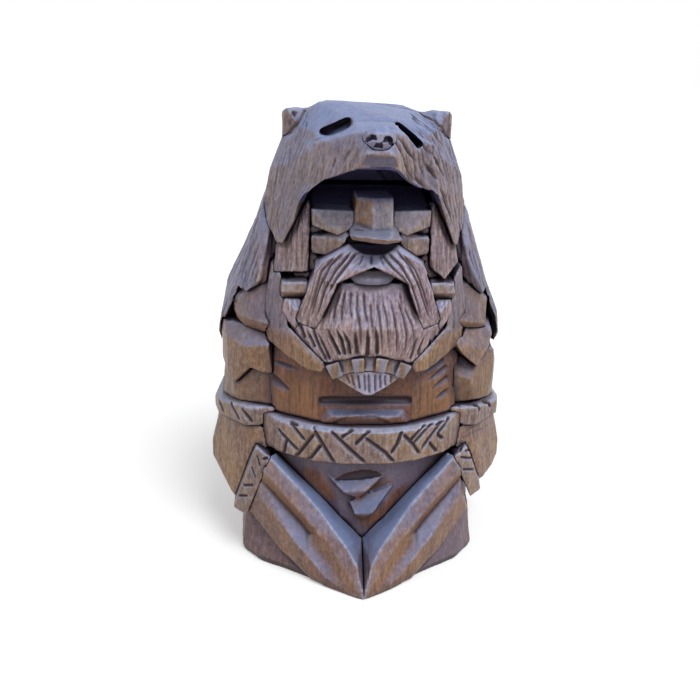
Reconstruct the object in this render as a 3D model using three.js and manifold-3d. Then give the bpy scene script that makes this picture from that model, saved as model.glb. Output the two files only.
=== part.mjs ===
// A carved figurine: a bearded man in a bear-skin hood, arms held down, hands meeting in a V.
// Millimetres, +Z up. The figure looks along -Y and its right side is at -X.
// Each carved form is one closed solid, and a narrow stop-cut line parts it from the next.

import * as THREE from 'three';
import { ConvexGeometry } from 'three/addons/geometries/ConvexGeometry.js';
import { mergeVertices } from 'three/addons/utils/BufferGeometryUtils.js';
import Module from 'manifold-3d';

const wasm = await Module();
wasm.setup();

// Overall sizes
const SHOULDER_TOP = 50; // table to the shoulders
const HEAD_TALL = 30; // shoulders to the bear's crown
const HEIGHT = SHOULDER_TOP + HEAD_TALL; // table to the bear's crown
const ELBOW_HALF = 27; // middle to the outside of an elbow
const FINGER_REACH = 25; // middle to the fingertips, at the front
const PELT_REACH = 25; // middle to the outside of the pelt, at the back
const PELT_THICK = 3.6; // how far the pelt stands off the body, at the back
const BODY_BACK = PELT_REACH - PELT_THICK;
const STOP_CUT = 0.42; // how far a form's clearance reaches past its corners

// Base and skirt
const BASE_TALL = 9;
const BASE_NOSE_DROP = 7; // how much lower the base is under the fingertips
const BASE_HALF = 21.6;
const BASE_BACK = 22.5;
const SKIRT_HALF = 20.6;

// Belt
const BELT_LOW = 22.2;
const BELT_TALL = 6.3;
const BELT_FRONT = 18.5;
const BELT_TOP = BELT_LOW + BELT_TALL;

// Bear's head, hung from the crown
const MUZZLE_FRONT = 23;
const MUZZLE_TALL = 8.1;
const JAW_CORNER_DROP = 13.2;
const JAW_CORNER_HALF = 10.2;
const LOBE_DROP = 21.8;
const LOBE_TIP_HALF = 13.9;
const HOOD_HALF = 16.2;
const HOOD_BACK_DROP = 14;
const JAW_ARCH = HEIGHT - MUZZLE_TALL;
const JAW_CORNER = HEIGHT - JAW_CORNER_DROP;
const LOBE_TIP = HEIGHT - LOBE_DROP;
const HOOD_BACK_LOW = HEIGHT - HOOD_BACK_DROP;

// Pelt
const PELT_SHOULDER_TIP = SHOULDER_TOP - 1.3;
const PELT_SIDE_HALF = 25.4;
const PELT_SIDE_LOW = SHOULDER_TOP - 13;
const PELT_BACK_LOW = SHOULDER_TOP - 38;

// Face and beard
const FACE_FRONT = 14;
const NOSE_FRONT = 24;
const NOSE_LOW = SHOULDER_TOP + 10.6;
const MOUSTACHE_FRONT = 21.2;
const MOUSTACHE_LOW = SHOULDER_TOP - 4;
const BEARD_FRONT = 20.8;
const BEARD_CORNER = SHOULDER_TOP - 9.4;
const BEARD_RING_TALL = 2.7;
const BEARD_TIP_LOW = SHOULDER_TOP - 14.9;
const BEARD_RING_BEADS = 7;
const BEARD_BEAD_RAISE = 1;

// Arms
const ARM_BAND_LOW = 24.9;
const ARM_BAND_TALL = 3;
const ARM_BAND_TOP = ARM_BAND_LOW + ARM_BAND_TALL;
const WRIST_BAND_WIDE = 2.3;
const LEFT_WRIST_RISE = 3.4; // the left wrist is carved a little higher than the right
const HAND_GAP_HALF = 0.2;

// Outlines of the bear's eyes: side, depth under the crown and how far forward the slot ends
const RIGHT_EYE = [[-8.6, 4.4, 9], [-3.5, 2, 10], [-3.5, 3.4, 12], [-6.2, 4.7, 11.4], [-7.6, 4.9, 10]];
const LEFT_EYE = [[3, 2.4, 10.2], [3.2, 3.6, 12], [5.4, 4.9, 10.6], [7.4, 5.9, 9.4], [6.4, 6.2, 10.6]];

// Directions in which a form is swollen to leave its clearance in the next one
const SWELL = [[1, 0, 0], [-1, 0, 0], [0, 1, 0], [0, -1, 0], [0, 0, 1], [0, 0, -1]]
  .map((axis) => new THREE.Vector3(...axis));

// A corner by its distance to the side, towards the front and above the table
function at(side, front, up) {
  return new THREE.Vector3(side, -front, up);
}

// A corner by its height above the shoulders, or below them where that is negative
function above(side, front, rise) {
  return at(side, front, SHOULDER_TOP + rise);
}

// A corner by its drop from the bear's crown
function under(side, front, drop) {
  return at(side, front, HEIGHT - drop);
}

function mirrorPoint(point) {
  return new THREE.Vector3(-point.x, point.y, point.z);
}

// Corners given for the left half, with their mirror images
function both(points) {
  return [...points, ...points.map(mirrorPoint)];
}

// A closed geometry as a solid
function solidFrom(geometry) {
  geometry.deleteAttribute('normal');
  geometry.deleteAttribute('uv');
  const merged = mergeVertices(geometry, 1e-4);
  return new wasm.Manifold(new wasm.Mesh({
    numProp: 3,
    vertProperties: new Float32Array(merged.attributes.position.array),
    triVerts: new Uint32Array(merged.index.array),
  }));
}

// The facetted block that a set of corners spans, swollen by a clearance
function block(corners, clearance) {
  if (clearance === 0) return solidFrom(new ConvexGeometry(corners));
  const swollen = corners.flatMap((corner) => (
    SWELL.map((way) => corner.clone().addScaledVector(way, clearance))));
  return solidFrom(new ConvexGeometry(swollen));
}

// A form is a set of blocks joined, less its own hollows
function carve(form, clearance) {
  let solid = form.blocks
    .map((corners) => block(corners, clearance))
    .reduce((joined, next) => joined.add(next));
  if (clearance === 0) {
    for (const corners of form.hollows) solid = solid.subtract(block(corners, 0));
  }
  return solid;
}

function form(name, material, blocks, hollows = []) {
  return { name, material, blocks, hollows };
}

// The same form on both sides of the figure
function pair(name, material, blocks, hollows = []) {
  const flip = (sets) => sets.map((corners) => corners.map(mirrorPoint));
  return [
    form(`${name}_left`, material, blocks, hollows),
    form(`${name}_right`, material, flip(blocks), flip(hollows)),
  ];
}

// A form on both sides that the carver cut differently on each
function unlikePair(name, material, right, left) {
  return [
    form(`${name}_left`, material, left),
    form(`${name}_right`, material, right.map((corners) => corners.map(mirrorPoint))),
  ];
}

// A form on both sides whose left one sits higher at the wrist
function unevenPair(name, material, cornersAt) {
  return [
    form(`${name}_left`, material, [cornersAt(LEFT_WRIST_RISE)]),
    form(`${name}_right`, material, [cornersAt(0).map(mirrorPoint)]),
  ];
}

// Stained wood: each form gets a material of its own from its kind
const wood = (color, roughness) => () => (
  new THREE.MeshStandardMaterial({ color, roughness, metalness: 0 }));
const PELT_WOOD = wood(0x7a6c6e, 0.5);
const FACE_WOOD = wood(0x8a7468, 0.5);
const HAIR_WOOD = wood(0x7d6c6c, 0.55);
const SLEEVE_WOOD = wood(0x7f6a5c, 0.45);
const BAND_WOOD = wood(0x86766c, 0.5);
const ROBE_WOOD = wood(0x69503f, 0.45);

// A bear's eye is a slot cut back into the brow, outlined as the front shows it
function eyeSlot(outline) {
  return outline.flatMap(([side, drop, front]) => [
    under(side, MUZZLE_FRONT + 1, drop - 1.6), under(side, front, drop),
  ]);
}

// Bear's head: crown, muzzle over the brow, and a lobe at each side of the face
function bearHood() {
  const crownTop = [
    under(-8.2, 4.6, 0.3), under(-5.4, 5, 0), under(-6.6, -5.8, 0.8),
    under(6.6, 4, 1.6), under(6.6, -7.6, 1.4),
  ];
  const crown = [...crownTop, ...both([
    under(10, 1.4, 2.3), under(12.9, 0.6, 3.2), under(12.7, -7, 3.4),
    under(14, 0.6, 6.4), under(13.6, -12, 7), under(8, -17.5, 7.5),
    under(3.6, 13.6, 2), under(8.6, 12, 4.4), under(11.6, 5, 4),
    under(HOOD_HALF, 1, 11.6), at(HOOD_HALF - 0.4, -13, HOOD_BACK_LOW),
    at(8, 0.9 - BODY_BACK, HOOD_BACK_LOW), at(JAW_CORNER_HALF, 14, JAW_CORNER + 1),
  ])];
  const muzzle = both([
    under(2.2, MUZZLE_FRONT - 1, 2.8), at(1.8, MUZZLE_FRONT + 1.2, JAW_ARCH + 2.1),
    at(3, MUZZLE_FRONT, JAW_ARCH), at(6.2, MUZZLE_FRONT - 3.4, JAW_ARCH - 2.5),
    at(JAW_CORNER_HALF, 15.2, JAW_CORNER), under(JAW_CORNER_HALF - 0.8, 13.4, 5.6),
    under(3.8, 14.4, 2.1), at(4, 8, JAW_ARCH - 1.9), at(9, 8, JAW_CORNER + 0.2),
  ]);
  const lobe = [
    at(JAW_CORNER_HALF, 15.2, JAW_CORNER), under(JAW_CORNER_HALF - 0.6, 13, 7),
    under(11.6, 5, 4.6), under(8.6, 12, 5), under(14, 0.6, 6.6),
    under(HOOD_HALF, 1.4, 11.6), at(HOOD_HALF + 1, 0, LOBE_TIP + 5.4),
    at(HOOD_HALF + 0.3, 4, LOBE_TIP + 2), at(LOBE_TIP_HALF + 1.1, 9, LOBE_TIP - 0.6),
    at(LOBE_TIP_HALF, 12, LOBE_TIP), at(JAW_CORNER_HALF - 1.2, 11, JAW_CORNER - 0.2),
    at(LOBE_TIP_HALF - 1.7, 8, LOBE_TIP + 0.6), at(LOBE_TIP_HALF + 0.1, 0, LOBE_TIP + 3.8),
    at(12, -4, JAW_CORNER + 1.2), at(HOOD_HALF + 0.3, -8, LOBE_TIP + 5.8),
  ];
  const mouthFront = MUZZLE_FRONT + 5;
  const mouth = both([
    at(3, mouthFront, JAW_ARCH - 0.4), at(6.7, mouthFront, JAW_ARCH - 2.4),
    at(JAW_CORNER_HALF - 0.3, mouthFront, JAW_CORNER - 0.4),
    at(LOBE_TIP_HALF - 0.3, mouthFront, LOBE_TIP), at(LOBE_TIP_HALF - 0.3, mouthFront, LOBE_TIP - 13.2),
    at(3, 3, JAW_ARCH + 0.6), at(JAW_CORNER_HALF - 1.6, 4, JAW_CORNER + 2.4),
    at(LOBE_TIP_HALF - 1.3, 4, LOBE_TIP), at(LOBE_TIP_HALF - 1.3, 4, LOBE_TIP - 13.2),
  ]);
  return form('bear_hood', PELT_WOOD, [crown, muzzle, lobe, lobe.map(mirrorPoint)],
    [mouth, eyeSlot(RIGHT_EYE), eyeSlot(LEFT_EYE)]);
}

function bearNose() {
  const padFront = MUZZLE_FRONT + 1.5;
  const padRim = MUZZLE_FRONT - 0.4;
  const beforePad = MUZZLE_FRONT + 3;
  const pad = both([
    under(0.8, padRim, 1.9), under(1.9, padRim, 2.9), under(2.4, padRim - 0.2, 4),
    under(0.8, padFront, 2.9), under(1.8, padFront - 0.3, 4.2),
    under(0.8, padFront, 5), under(1.2, padRim - 2.6, 5),
    under(1.8, padRim - 3.6, 3.6),
  ]);
  const nostril = (side) => {
    const low = HEIGHT - 3.9;
    return [
      at(side * 0.6, beforePad, low - 0.3), at(side * 2.3, beforePad, low - 0.7),
      at(side * 2, beforePad, low + 0.9), at(side * 1.1, beforePad, low + 1.4),
      at(side * 1.4, padRim + 0.2, low + 0.2),
    ];
  };
  const cleft = both([
    under(0.6, beforePad, 4.7), under(0.2, beforePad, 4.2),
    under(0.3, beforePad, 4.9), under(0.2, padFront - 0.7, 4.6),
  ]);
  return form('bear_nose', FACE_WOOD, [pad], [nostril(-1), nostril(1), cleft]);
}

function ears() {
  const inner = 9;
  const outer = 13.9;
  return pair('ear', PELT_WOOD, [[
    under(inner, 2.4, 2.3), under(inner + 2.2, 2.6, 1.8), under(outer - 0.5, 2.2, 1.6),
    under(outer + 0.2, 0.6, 2.3), under(inner, -3.6, 2.3),
    under(inner + 2.4, -3.8, 1.8), under(outer - 0.3, -4.6, 2.2), under(outer + 0.2, -2, 2.4),
    under(outer + 0.2, 1, 6), under(inner + 1.6, 4.6, 4.8),
    under(inner + 1.2, -3, 5), under(outer, -4, 6.4), under(inner + 2, 1, 6.6),
  ]]);
}

// The pelt over one shoulder: a lobe with a thick front edge, and the corner behind it
function peltSides() {
  const shoulderLobe = [
    under(17.2, 0, 16), under(16.1, 5, 19.6), above(16.7, 6.8, 6.6), above(18.2, 8.4, 1),
    at(20.1, 7.4, PELT_SHOULDER_TIP), at(22.3, 1.6, PELT_SHOULDER_TIP), above(19.2, -1, 6.4),
    above(14.6, 5, 8), above(15.2, 8, 1.4), under(15, -4, 20), above(18, -6, 0),
    above(19.8, -8, 4), under(16.6, -10, 15), under(13.6, -2, 15),
  ];
  const corner = [
    above(19.2, -1, 6.4), at(22.3, 1.8, PELT_SHOULDER_TIP + 0.2), above(24.7, 0.4, -6.4),
    at(22, 3.6, PELT_SHOULDER_TIP - 1.8), above(23.8, 3, -6.6), above(24.7, 1.4, -9.6),
    above(PELT_SIDE_HALF, -0.6, -10.6), at(25, -2, PELT_SIDE_LOW), above(21.4, -1, -3),
    above(22.4, -4, -7), above(23.4, -5, -12), above(20.2, -12, 5), above(24.4, -14, -4),
    above(25, -13, -11.4), above(21, -12, -13), above(17.4, -13, 8), under(16.4, -11, 17),
  ];
  return pair('pelt_side', PELT_WOOD, [shoulderLobe, corner]);
}

// The pelt down the back, ending in ragged locks
function peltBack() {
  const hide = both([
    under(15.6, -12.6, 13), under(8, -20.8, 13), under(15.8, -6, 14), under(18.2, -11, 22),
    above(22, -12, 0), above(23.4, -13, -12), above(14, -22.4, 2), above(15, -22.6, -12),
    above(6, -PELT_REACH, -4), above(6, -PELT_REACH, -18), under(10, 2, 16), under(10, 2, 24),
    above(18, -9, -14), above(12, -21, -24), above(19, -15, -22),
  ]);
  const lock = (side, front, up, half, tall) => [
    at(side - half, front + 1.6, up + tall), at(side + half, front + 1.6, up + tall),
    at(side - half, front + 6, up + tall), at(side + half, front + 6, up + tall),
    at(side - half * 0.8, front, up + tall * 0.6), at(side + half * 0.8, front, up + tall * 0.6),
    at(side, front + 0.8, up), at(side, front + 4.5, up + 1),
  ];
  const locks = [
    lock(0, -PELT_REACH + 0.4, PELT_BACK_LOW, 4.6, 22),
    lock(8, -PELT_REACH + 1.8, PELT_BACK_LOW + 4, 4.6, 20),
    lock(-8, -PELT_REACH + 1.8, PELT_BACK_LOW + 4, 4.6, 20),
    lock(15, -PELT_REACH + 4.6, PELT_BACK_LOW + 9, 4.2, 16),
    lock(-15, -PELT_REACH + 4.6, PELT_BACK_LOW + 9, 4.2, 16),
  ];
  return form('pelt_back', PELT_WOOD, [hide, ...locks]);
}

// The head block inside the hood
function face() {
  return form('face', FACE_WOOD, [both([
    above(9.4, FACE_FRONT - 1.6, 13.8), above(4, FACE_FRONT - 1.2, 14), above(9, 3, 16.4),
    above(4, FACE_FRONT + 1.4, 7),
    above(12.4, FACE_FRONT - 2, 2), above(12, FACE_FRONT - 2, -4), above(4, FACE_FRONT + 1, -4),
    above(10, 1, 14), above(12, -2, -4),
  ])]);
}

// The ridge of the nose is carved a little to the figure's left
function nose() {
  const bridge = [
    above(-2.6, 15.6, 16.6), above(-0.3, 18.6, 17), above(2.8, 18.2, 17), above(3, 15.6, 16.6),
    above(-2.6, 17.2, 12.2), above(-0.3, 20.7, 12.2), above(2.8, 20.2, 12.2), above(3, 17.2, 12.2),
    above(-2.6, 9, 16.6), above(2.8, 9, 16.6), above(-2.6, 9, 12), above(2.8, 9, 12),
  ];
  const wings = [
    above(-2.6, 17, 12.8), above(-0.3, 20.6, 12.6), above(2.8, 20.2, 12.6), above(3, 17, 12.8),
    at(-3.7, 19.6, NOSE_LOW + 0.8), at(-3.3, 19.2, NOSE_LOW + 0.1), at(4.4, 19.4, NOSE_LOW + 0.2),
    at(3.8, 19.2, NOSE_LOW - 0.2), at(-0.6, NOSE_FRONT - 0.4, NOSE_LOW + 1.4),
    at(1.9, NOSE_FRONT - 0.2, NOSE_LOW + 1.2), at(-0.3, NOSE_FRONT - 0.9, NOSE_LOW + 0.5),
    at(1.6, NOSE_FRONT - 0.8, NOSE_LOW + 0.4), at(-3, 13, NOSE_LOW + 0.4),
    at(3.4, 13, NOSE_LOW + 0.2), at(-3, 13, NOSE_LOW + 2), at(3, 13, NOSE_LOW + 2),
  ];
  return form('nose', FACE_WOOD, [bridge, wings]);
}

function brows() {
  return pair('brow', FACE_WOOD, [[
    above(9.4, 13.8, 14.3), above(3.2, 15.8, 14.5), above(9.3, 14.4, 11.8), above(5.5, 16.8, 11),
    above(3.2, 17, 12.2), above(9, 11, 14.2), above(3.2, 11, 14.3), above(9, 11, 11.8),
    above(3.2, 11, 11.4),
  ]]);
}

function cheeks() {
  return pair('cheek', FACE_WOOD, [[
    above(3.5, 17, 11.5), above(5.4, 15.8, 10.2), above(9.3, 13.6, 10), above(6.2, 16.6, 7.6),
    above(4.3, 17.8, 10.2), above(9.2, 13.8, 7.4), above(8.6, 11, 10), above(3.8, 11, 10.4),
    above(8.6, 11, 7), above(5, 11, 7),
  ]]);
}

function lowerLip() {
  return form('lower_lip', FACE_WOOD, [both([
    above(1.3, 19.8, 6.1), above(3.7, 18.6, 4.9), above(0.9, 20.3, 4.7), above(2.5, 19, 3.9),
    above(0.9, 19.8, 3.8), above(3.2, 14, 5), above(2.2, 14, 4),
  ])]);
}

// The moustache runs across under the nose and down at each side of the mouth
function moustache() {
  const top = [
    above(0, 18.4, 9.4), above(3.6, 18, 9.8), above(0, MOUSTACHE_FRONT, 7), above(4.6, 18.8, 8.6),
    above(3.5, 20.7, 6.1), above(7.6, 17.4, 6.9), above(6.2, 20, 3.6), above(9, 16.6, 4.8),
    above(0, 13, 9), above(0, 13, 7), above(5, 13, 4.8), above(8.6, 12, 6),
  ];
  const side = [
    above(5.3, 20.3, 4.4), above(5.9, 20, 2.6), above(7.3, 19.4, -0.6), at(8.7, 17.6, MOUSTACHE_LOW),
    above(8.4, 17, 5.6), above(9.9, 16.4, 2), above(10.6, 15.8, -1.4),
    at(11.6, 14.9, MOUSTACHE_LOW + 0.4), above(6, 12, 4), above(9, 12, 4),
    at(8, 12, MOUSTACHE_LOW + 2), at(10, 12, MOUSTACHE_LOW + 2),
  ];
  return form('moustache', HAIR_WOOD, [top, side, top.map(mirrorPoint), side.map(mirrorPoint)]);
}

function beard() {
  return form('beard', HAIR_WOOD, [both([
    above(1.6, 19, 2.7), above(4.6, 18.6, 3.8), above(10.4, 14.8, 0), above(12.7, 14, -4.4),
    above(12.4, 13.6, -5.4), at(6.9, 18.4, BEARD_CORNER), at(3, 20.2, BEARD_CORNER + 1.4),
    above(2.6, BEARD_FRONT, -3), above(7, 19.2, -3.4), above(9.6, 10, 2), above(11.6, 10, -4.6),
    at(6.4, 12, BEARD_CORNER),
  ])]);
}

// The ring that gathers the beard: a crescent of square beads, every second one raised
function beardRing() {
  const half = 6.9;
  const beadRim = (step) => {
    const side = -half + step * (2 * half / BEARD_RING_BEADS);
    const sink = (side / half) ** 2;
    return { side, front: 19.8 - 2.2 * sink, top: BEARD_CORNER + 1.8 - 2.2 * sink };
  };
  const bead = (step) => {
    const raise = step % 2 === 0 ? BEARD_BEAD_RAISE : 0;
    const corners = (rim) => [
      at(rim.side, rim.front + raise, rim.top - 0.3), at(rim.side, 14.5, rim.top),
      at(rim.side * 0.84, rim.front + raise * 0.6, rim.top - BEARD_RING_TALL),
      at(rim.side * 0.84, 14.5, rim.top - BEARD_RING_TALL),
    ];
    return [...corners(beadRim(step)), ...corners(beadRim(step + 1))];
  };
  const beads = Array.from({ length: BEARD_RING_BEADS }, (_, step) => bead(step));
  return form('beard_ring', BAND_WOOD, beads);
}

function beardTip() {
  return form('beard_tip', HAIR_WOOD, [both([
    above(6.2, 16.8, -12), above(3, 18.9, -11), above(0.6, 19.6, -10.4), above(3, 18.5, -13.6),
    at(0.5, 19, BEARD_TIP_LOW), above(5, 13, -11.4), above(0.5, 13, -10.6), above(0.5, 13, -13.6),
  ])]);
}

// A lock of hair beside the face, the ring round it and the tuft below
// The right lock ends square, the left one in a point
function hairLocks() {
  const upper = [
    above(9.7, 12.6, 15.4), above(14.2, 10.2, 7.4), above(11.8, 12.2, 10), above(9.7, 8.6, 15),
    above(13, 8, 11), above(15, 7, 7),
  ];
  const right = [
    above(9.9, 13.7, 4.2), above(15.2, 10, 3.2), above(12.4, 13, 4), above(15, 7, 3.4),
    above(10, 9, 3.8),
  ];
  const left = [
    above(9.7, 13.2, 6.4), above(9.9, 13.6, 5), above(12.3, 13.4, 3), above(14.8, 10.6, 5.2),
    above(14.9, 7, 5), above(10, 9, 4.6), above(12.6, 9, 3.4),
  ];
  return unlikePair('hair_lock', HAIR_WOOD, [[...upper, ...right]], [[...upper, ...left]]);
}

function hairRings() {
  return pair('hair_ring', BAND_WOOD, [[
    above(10, 14.6, 2.8), above(13.9, 13.4, 2.3), above(10, 15, 1.2), above(14.1, 13.8, 0.8),
    above(10.2, 13.9, 0.2), above(14, 12.9, -0.1), above(10, 9, 3), above(14, 9, 2.4),
    above(10.2, 9, 0), above(14, 9, 0),
  ]]);
}

function hairTails() {
  return pair('hair_tail', HAIR_WOOD, [[
    above(10.4, 14.4, -0.2), above(13.4, 13.6, -0.4), above(11.6, 15.4, -1.6), above(13.8, 13.2, -2.4),
    above(10.6, 15, -3.2), above(12, 14.6, -5.2), above(10.4, 9, -0.2), above(13.4, 9, -0.4),
    above(12, 10, -4),
  ]]);
}

// The smooth edge of the cloak, down beside the beard and in to its ring
function collars() {
  const strip = [
    above(15.8, 9, 4.4), above(16.6, 10, -1.2), above(16.3, 10.6, -8.2), above(14.2, 11.8, 3),
    above(13.8, 13.4, -2.6), above(13.2, 14, -5.4), above(15.4, 6, 4.4), above(16, 6, -8),
    above(13, 8, -5), above(13.6, 8, 3),
  ];
  const sash = [
    above(16.4, 10.6, -6.4), above(16.1, 10.6, -8.5), above(13.7, 13.4, -9.8), above(9.9, 16.6, -11.5),
    above(7.5, 18, -11.4), above(7, 18.2, -10.1), above(8.9, 17.4, -8.8), above(13, 14.6, -5),
    above(15, 7, -8), above(8, 13, -10.6), above(9, 13, -9), above(13, 9, -6),
  ];
  return pair('collar', SLEEVE_WOOD, [strip, sash]);
}

// Each part of a sleeve hangs over the one under it like a thick fold of cloth
function shoulders() {
  const inside = [
    at(22.2, 0, 47), at(22.4, 0, 43.6), at(14, 4, 52), at(14, 4, 43), at(22.2, -8, 47),
    at(22.4, -8, 43), at(14, -6, 52), at(14, -6, 43),
  ];
  const right = [
    at(15.6, 7.6, 51.6), at(16.2, 6.2, 52), at(19.4, 6.6, 49), at(21.2, 5.2, 47.4),
    at(22, 5.6, 45.2), at(20.5, 8.4, 44.9), at(17, 11.3, 44.7), at(16.3, 11.4, 44.6),
    at(21.8, 4.8, 43.8), at(20.2, 7.4, 43.3), at(17, 10.3, 42.9), at(16.2, 10.4, 42.8),
  ];
  const left = [
    at(15.2, 8.4, 52.4), at(16.2, 6.2, 52.6), at(19.7, 7, 48.6), at(21.4, 5, 47.4),
    at(21, 7.4, 43.7), at(19, 10, 44.6), at(15.6, 12, 45.5), at(15.4, 11.6, 44.4),
    at(18.6, 9.2, 43.6), at(21, 6.4, 42.9),
  ];
  return unlikePair('shoulder', SLEEVE_WOOD, [[...right, ...inside]], [[...left, ...inside]]);
}

function upperSleeves() {
  const rightOuter = [
    at(24.2, 2.4, 42.2), at(24.6, 1.6, 39.6), at(24.6, 0.8, 35), at(23.4, 6, 33.4),
    at(22.2, 8, 32.9), at(19.4, 10.1, 36.4), at(20.3, 9.9, 40.1), at(23.6, 5.2, 40.4),
    at(20.6, 7, 43), at(22.6, 4, 42.8), at(24, -9, 42), at(24.4, -9, 33.6),
    at(19, 3, 42.6), at(19, 3, 33.4), at(20, -13, 42), at(20, -13, 33.4),
  ];
  const rightInner = [
    at(20.6, 7, 43), at(16.4, 9.6, 42.8), at(20.3, 9.9, 40.1), at(16.2, 11.6, 41),
    at(19.4, 10.1, 36.4), at(17.2, 10.9, 35.7), at(15.8, 11.1, 35.8), at(19, 3, 42.6),
    at(14, 3, 42.6), at(14, 3, 36.4), at(19, 3, 36.8), at(14, -13, 42.6), at(14, -13, 35),
    at(20, -13, 42.6), at(20, -13, 35),
  ];
  const left = [
    at(15.2, 10.4, 45), at(21.2, 6.4, 43.4), at(22.6, 6, 41.4), at(21.4, 8.6, 39.2),
    at(19.4, 10.6, 36.9), at(16.4, 12, 39.6), at(14.6, 12.8, 42.4), at(14.4, 12.2, 43.6),
    at(18.8, 8, 37.4), at(15.4, 9, 40), at(14, 3, 44.5), at(14, 3, 40.5), at(22.8, 0, 43.6),
    at(23.8, 0, 38.5), at(22.8, -9, 43), at(24, -9, 37), at(14, -13, 43), at(14, -13, 37),
    at(20, -13, 43), at(20, -13, 37),
  ];
  return unlikePair('sleeve_upper', SLEEVE_WOOD, [rightOuter, rightInner], [left]);
}

function lowerSleeves() {
  const bottom = ARM_BAND_TOP - 0.2;
  const right = [
    at(24.2, 0.5, 35.4), at(22.8, 5.4, 34.8), at(19.4, 8.2, 36.6), at(15.6, 9.6, 36.8),
    at(18.8, 9.4, 31.2), at(15.5, 10.2, bottom + 1.8), at(22, 7.2, bottom + 2.6),
    at(20.2, 8, bottom + 1), at(24.6, 1.8, bottom - 0.4), at(25, -8, bottom - 0.4),
    at(24.4, -8, 35), at(14, 2, 36.6), at(14, 2, bottom + 1.2), at(20, -13, 36),
    at(20.4, -13, bottom - 0.4), at(14, -13, 36), at(14, -13, bottom - 0.4),
  ];
  const left = [
    at(15.2, 9.6, 38), at(21.4, 7, 39), at(23.6, 4.4, 38), at(24.6, 1.4, 35), at(23.6, 5, 34),
    at(18.4, 10.6, 34.6), at(15.6, 10.9, 35.4), at(19.6, 9.4, bottom + 2.6),
    at(15.2, 9.2, bottom + 2), at(24.7, 1.4, bottom + 0.4), at(22.6, 6.6, bottom + 2.2),
    at(25, -8, bottom), at(24.2, -9, 38), at(14, 2, 38), at(14, 2, bottom + 1.2),
    at(20, -13, 38), at(20.4, -13, bottom - 0.4), at(14, -13, 38), at(14, -13, bottom - 0.4),
  ];
  return unlikePair('sleeve_lower', SLEEVE_WOOD, [right], [left]);
}

function armBands() {
  return pair('arm_band', BAND_WOOD, [[
    at(25.2, 3, ARM_BAND_TOP - 0.4), at(20.5, 9.2, ARM_BAND_TOP + 0.8),
    at(15.3, 11.2, ARM_BAND_TOP + 1.5), at(26.3, -1, ARM_BAND_TOP - 1.1),
    at(26.2, 0, ARM_BAND_LOW + 0.2), at(25.4, 2.8, ARM_BAND_LOW - 0.1),
    at(20.4, 9.3, ARM_BAND_LOW + 0.5), at(15.6, 11.2, ARM_BAND_LOW + 1.6),
    at(25.2, -9, ARM_BAND_TOP - 0.2), at(25.8, -9, ARM_BAND_LOW - 0.6),
    at(20.5, 8, ARM_BAND_TOP + 1.3), at(24.8, 1.6, ARM_BAND_TOP + 0.3),
    at(14, 2, ARM_BAND_TOP + 1.4), at(14, 2, ARM_BAND_LOW + 1),
    at(20.8, -13.8, ARM_BAND_TOP - 0.2), at(21.2, -13.8, ARM_BAND_LOW - 0.4),
    at(14, -13, ARM_BAND_TOP), at(14, -13, ARM_BAND_LOW - 0.4),
  ]]);
}

function forearms() {
  const top = ARM_BAND_LOW + 0.6;
  return unevenPair('forearm', SLEEVE_WOOD, (rise) => [
    at(25.2, 0.2, top), at(ELBOW_HALF, 0, 18), at(ELBOW_HALF, 0.2, 15.2), at(25.4, 3.4, 14.2),
    at(22.6, 7.6, 10.2 + rise), at(20.2, 8.4, top + 0.4), at(17.2, 10.8, top), at(14.6, 11, top - 0.6),
    at(17, 11.6, 21.6), at(20.6, 10, 10.4 + rise), at(25.4, -9, top - 0.6), at(26.4, -9, 17),
    at(24.6, -9, 12), at(22, 0, 9.2 + rise), at(14, 2, top), at(20, -13, 12), at(16, -8, 11),
    at(20.6, -13.4, top - 0.6), at(14, -13, top - 0.6),
  ]);
}

// A slanted strap between the sleeve and the hand
function wristBands() {
  const topOuter = at(18.4, 11.7, 22.4);
  return unevenPair('wrist_band', BAND_WOOD, (rise) => {
    const lowOuter = at(22.7 - rise * 0.1, 8.6, 8.8 + rise);
    return [
      topOuter, at(topOuter.x - WRIST_BAND_WIDE, 14, 21.5),
      lowOuter, at(lowOuter.x - WRIST_BAND_WIDE, 11.2, 8.6 + rise),
      at(15.4, 6, 20.6), at(17.8, 5, 21.4), at(20, 2, 9 + rise), at(22.6, 2, 9.2 + rise),
    ];
  });
}

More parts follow.
